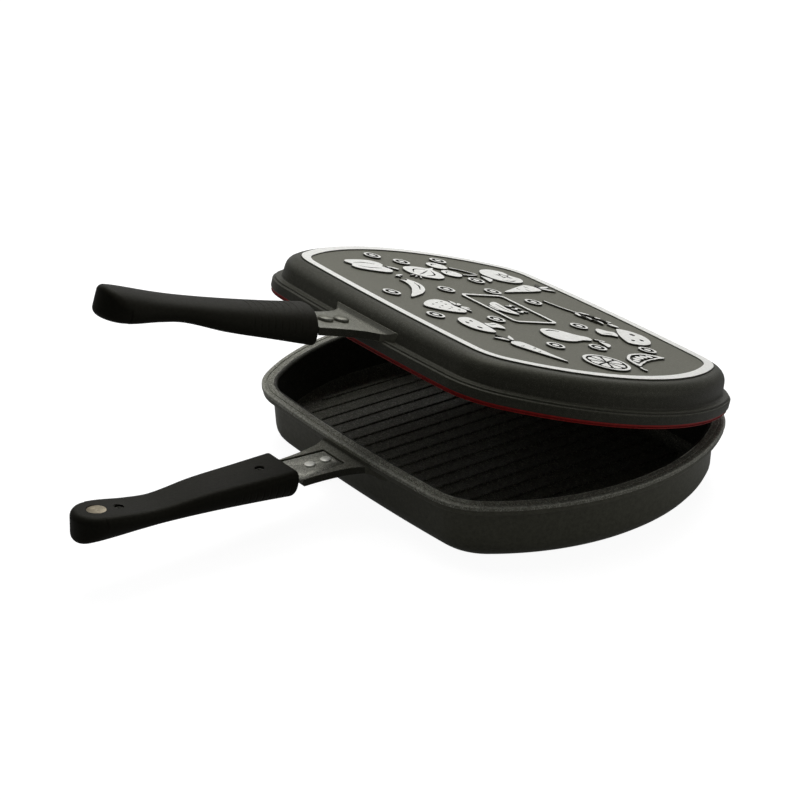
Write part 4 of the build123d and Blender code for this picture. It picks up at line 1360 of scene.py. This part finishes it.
def slope(index, item):
    """Slope of a station's value, from its neighbours."""
    near = grip_stations[max(index - 1, 0)]
    far = grip_stations[min(index + 1, len(grip_stations) - 1)]
    return (far[item] - near[item]) / (far[0] - near[0])


def grip_size(place, item):
    """A station value at any place along the handle, on a smooth curve through the stations."""
    index = max(i for i in range(len(grip_stations) - 1) if grip_stations[i][0] <= place)
    near, far = grip_stations[index], grip_stations[index + 1]
    run = far[0] - near[0]
    t = (place - near[0]) / run
    leaves, arrives = run * slope(index, item), run * slope(index + 1, item)
    return ((2 * t**3 - 3 * t**2 + 1) * near[item] + (t**3 - 2 * t**2 + t) * leaves
            + (3 * t**2 - 2 * t**3) * far[item] + (t**3 - t**2) * arrives)


def groove(place):
    """Depth of the moulded grooves across the back."""
    nearest = round((place - groove_first) / groove_pitch)
    nearest = min(max(nearest, 0), groove_count - 1)
    away = abs(place - groove_first - nearest * groove_pitch) / (groove_width / 2)
    return groove_depth * max(0.0, 1 - away**2)


def grip_row(place, shrink, tip):
    """One section of the grip as (x, z) points, anticlockwise from the middle of the face."""
    half = grip_size(place, 1) - shrink
    dip = grip_size(place, 2) + shrink
    depth = grip_size(place, 3) - shrink
    beyond = place - tip
    wide = min(half, sqrt(max(tip_radius**2 - beyond**2, 0.0))) if beyond > 0 else half
    radius = edge_round - shrink
    points = []
    for step in range(face_columns + 1):
        x = wide * sin(pi / 2 * step / face_columns)
        inside_edge = tip_radius - hypot(x, beyond) if beyond > 0 else half - x
        short = max(radius - max(inside_edge, 0.0), 0.0)
        points.append((x, -dip - radius + sqrt(max(radius**2 - short**2, 0.0))))
    arch_top = -dip - radius
    arch = []
    for step in range(arch_columns + 1):
        angle = pi / 2 * step / arch_columns
        x = wide * cos(angle)
        share = min(x / half, 1.0)
        z = arch_top - (depth + arch_top) * (1 - share**arch_power)**(1 / arch_power)
        if beyond > 0:
            curl = tip_round * min(beyond / tip_ease, 1)
            short = max(curl - max(tip_radius - hypot(x, beyond), 0.0), 0.0)
            z = min(z + curl - sqrt(max(curl**2 - short**2, 0.0)), arch_top)
        arch.append((x, z))
    side_end = arch[0][1]
    for step in range(1, edge_columns):
        share = step / edge_columns
        points.append((wide, arch_top + (side_end - arch_top) * share))
    cut_in = groove(place)
    for x, z in arch:
        fade = min(max((-z - groove_skirt) / groove_fade, 0.0), 1.0)
        left = 1 - cut_in * fade / hypot(x, z)
        points.append((x * left, z * left))
    mirrored = [(-x, z) for x, z in points[1:-1]]
    return points + mirrored[::-1]


def grip_places(start, tip):
    """Places along the handle for the rows, closer together at the grooves and at both ends."""
    quarter = [pi / 2 * step / round_steps for step in range(round_steps + 1)]
    places = [(start + end_round * (1 - cos(a)), end_round * (1 - sin(a))) for a in quarter]
    fine_start = groove_first - 2
    fine_end = groove_first + groove_pitch * (groove_count - 1) + 3
    place = start + end_round + 0.5
    while place < tip:
        places.append((place, 0.0))
        place += fine_step if fine_start < place < fine_end else coarse_step
    for step in range(tip_steps + 1):
        places.append((tip + tip_radius * sin(pi / 2 * step / tip_steps), 0.0))
    return places


print("half width at the waist:", round(grip_size(110.0, 1), 1),
      "points in a row:", len(grip_row(110.0, 0.0, tips["lower"])))

# %% [markdown]
# The pits of the screws and of the magnet, and the slot that takes the tang, are cut out of the
# finished surface. A pit's mouth is flared, as moulded plastic has no sharp edge round a hole.

# %% Both grips
screw_places = (27.0, 140.5)
screw_bore, screw_sink, screw_head = 3.4, 1.6, 2.2
magnet_bore, magnet_floor = 7.05, 4.35
pit_flare, flare_steps, pit_top = 0.5, 4, 2.0
slot_near_half, slot_far_half, slot_end, slot_gap = 13.6, 8.1, 149.0, 0.1
grip_edge_angle = 40       # edges of the grip sharper than this stay sharp, in degrees


def pit(radius, top, floor, place, along):
    """A cutter for a round hole in the inner face, with a softly flared mouth."""
    section = [(near_axis, floor), (radius, floor), (radius, top - pit_flare)]
    for step in range(1, flare_steps + 1):
        angle = pi / 2 * step / flare_steps
        section.append((radius + pit_flare * (1 - cos(angle)),
                        top - pit_flare + pit_flare * sin(angle)))
    section += [(radius + pit_flare, pit_top), (near_axis, pit_top)]
    return lathed("pit", section, place @ Matrix.Translation((0, -along * MM, 0)), grip_plastic)


def make_grip(side, body, handle, bend_sign):
    """One grip with its pits and its slot. bend_sign says which way its tang bends."""
    start, tip = grip_starts[side], tips[side]
    rows = [[(x, -place, z) for x, z in grip_row(place, shrink, tip)]
            for place, shrink in grip_places(start, tip)]
    count = len(rows[0])
    points = [point for row in rows for point in row]
    faces = [face for r in range(len(rows) - 1) for face in band(r * count, count)]
    faces.append(tuple(range(count)))
    faces.append(tuple(reversed(range(len(points) - count, len(points)))))
    grip = new_piece(f"{side}_grip_moulding", points, faces, handle, [grip_plastic])
    edit(grip, weld(2e-5), outward)
    level = (tang_top * cos(radians(handle_rise))
             + bend_sign * (start - overlap) * sin(radians(handle_rise)))
    slot = [(-slot_near_half, overlap - start), (slot_near_half, overlap - start),
            (slot_far_half, -slot_end), (-slot_far_half, -slot_end)]
    cutters = [prism("slot", slot, -level - tang_thickness - slot_gap, -level + slot_gap, handle,
                     grip_plastic)]
    for along in screw_places:
        dip = grip_size(along, 2)
        cutters.append(pit(screw_bore, -dip, -dip - screw_sink - screw_head, handle, along))
    cutters.append(pit(magnet_bore, -face_gap, -face_gap - magnet_floor, handle, magnet_at))
    cut(grip, *cutters)
    shade(grip.data, True)
    grip.data.set_sharp_from_angle(angle=radians(grip_edge_angle))
    keep(grip, body, "grip_plastic", f"{side}_grip")


make_grip("lower", "base", lower_handle, 1)
make_grip("upper", "lid", upper_handle, -1)

# %% [markdown]
# ## The studio
# The pan stands on a white sweep. The floor and the world are plain white to the camera and dim
# in metal and gloss, because a black coating is drawn by what it reflects: a bright room would
# turn it grey. The light that they cast stays at a plain level. From below, the floor is clear.

# %% Floor and world
floor_size, floor_grey = 6.0, 0.25
floor_seen, floor_mirrored = 0.94, 0.1
world_seen, world_mirrored, world_light = 1.0, 0.2, 0.10
white = (1, 1, 1, 1)


def background(tree, seen, mirrored):
    """How bright the background is to the camera, and in metal, glass and gloss."""
    path = node(tree, "ShaderNodeLightPath")
    reflected = maths(tree, "ADD", path.outputs["Is Glossy Ray"],
                      path.outputs["Is Transmission Ray"])
    return maths(tree, "MULTIPLY_ADD", path.outputs["Is Camera Ray"], seen,
                 maths(tree, "MULTIPLY", reflected, mirrored))


bpy.ops.mesh.primitive_plane_add(size=floor_size)
floor = bpy.context.object
floor.name = "studio_floor"
floor_material, tree, shader = new_material("studio_floor")
shader.inputs["Base Color"].default_value = (floor_grey, floor_grey, floor_grey, 1)
shader.inputs["Roughness"].default_value = 1.0
shader.inputs["Specular IOR Level"].default_value = 0.0
glow = node(tree, "ShaderNodeEmission", (
    ("Color", white), ("Strength", background(tree, floor_seen, floor_mirrored))))
lit = node(tree, "ShaderNodeAddShader", ((0, shader), (1, glow)))
from_below = node(tree, "ShaderNodeNewGeometry").outputs["Backfacing"]
seen_side = node(tree, "ShaderNodeMixShader", (
    (0, from_below), (1, lit), (2, node(tree, "ShaderNodeBsdfTransparent"))))
join(tree, seen_side, tree.nodes["Material Output"].inputs["Surface"])
floor.data.materials.append(floor_material)

world = bpy.data.worlds.new("studio")
bpy.context.scene.world = world
world.use_nodes = True
tree = world.node_tree
tree.nodes["Background"].inputs["Color"].default_value = white
join(tree, maths(tree, "MAXIMUM", background(tree, world_seen, world_mirrored), world_light),
     tree.nodes["Background"].inputs["Strength"])
print("floor:", floor_size, "m across, world light:", world_light)

# %% [markdown]
# The big soft lamps stand overhead and behind: they draw the tops and the rounded edges in soft
# grey and leave the walls that face the camera dark.

# %% Lamps
def lamp(name, place, aim, width, depth, power):
    """A rectangular soft lamp that points at a place. Sizes and places are in metres."""
    data = bpy.data.lights.new(name, "AREA")
    data.shape = "RECTANGLE"
    data.size, data.size_y = width, depth
    data.energy = power
    obj = add_object(name, data)
    obj.location = place
    obj.rotation_euler = (Vector(aim) - Vector(place)).to_track_quat("-Z", "Y").to_euler()
    obj.visible_camera = False


middle = (0, 0, 0.06)
lamp("overhead", (-0.4, 0.3, 1.7), middle, 1.3, 1.1, 18)
lamp("high_back", (-0.9, 1.2, 1.2), middle, 1.2, 0.8, 7)
lamp("low_back", (-1.35, 1.1, 0.2), middle, 2.4, 0.5, 1.6)
lamp("low_right", (1.3, 1.0, 0.25), middle, 1.2, 0.5, 2.0)
lamp("left", (-0.48, -0.12, 0.46), middle, 0.45, 0.45, 0.5)
bpy.context.scene.view_settings.view_transform = "Standard"
print("lamps:", len(bpy.data.lights))
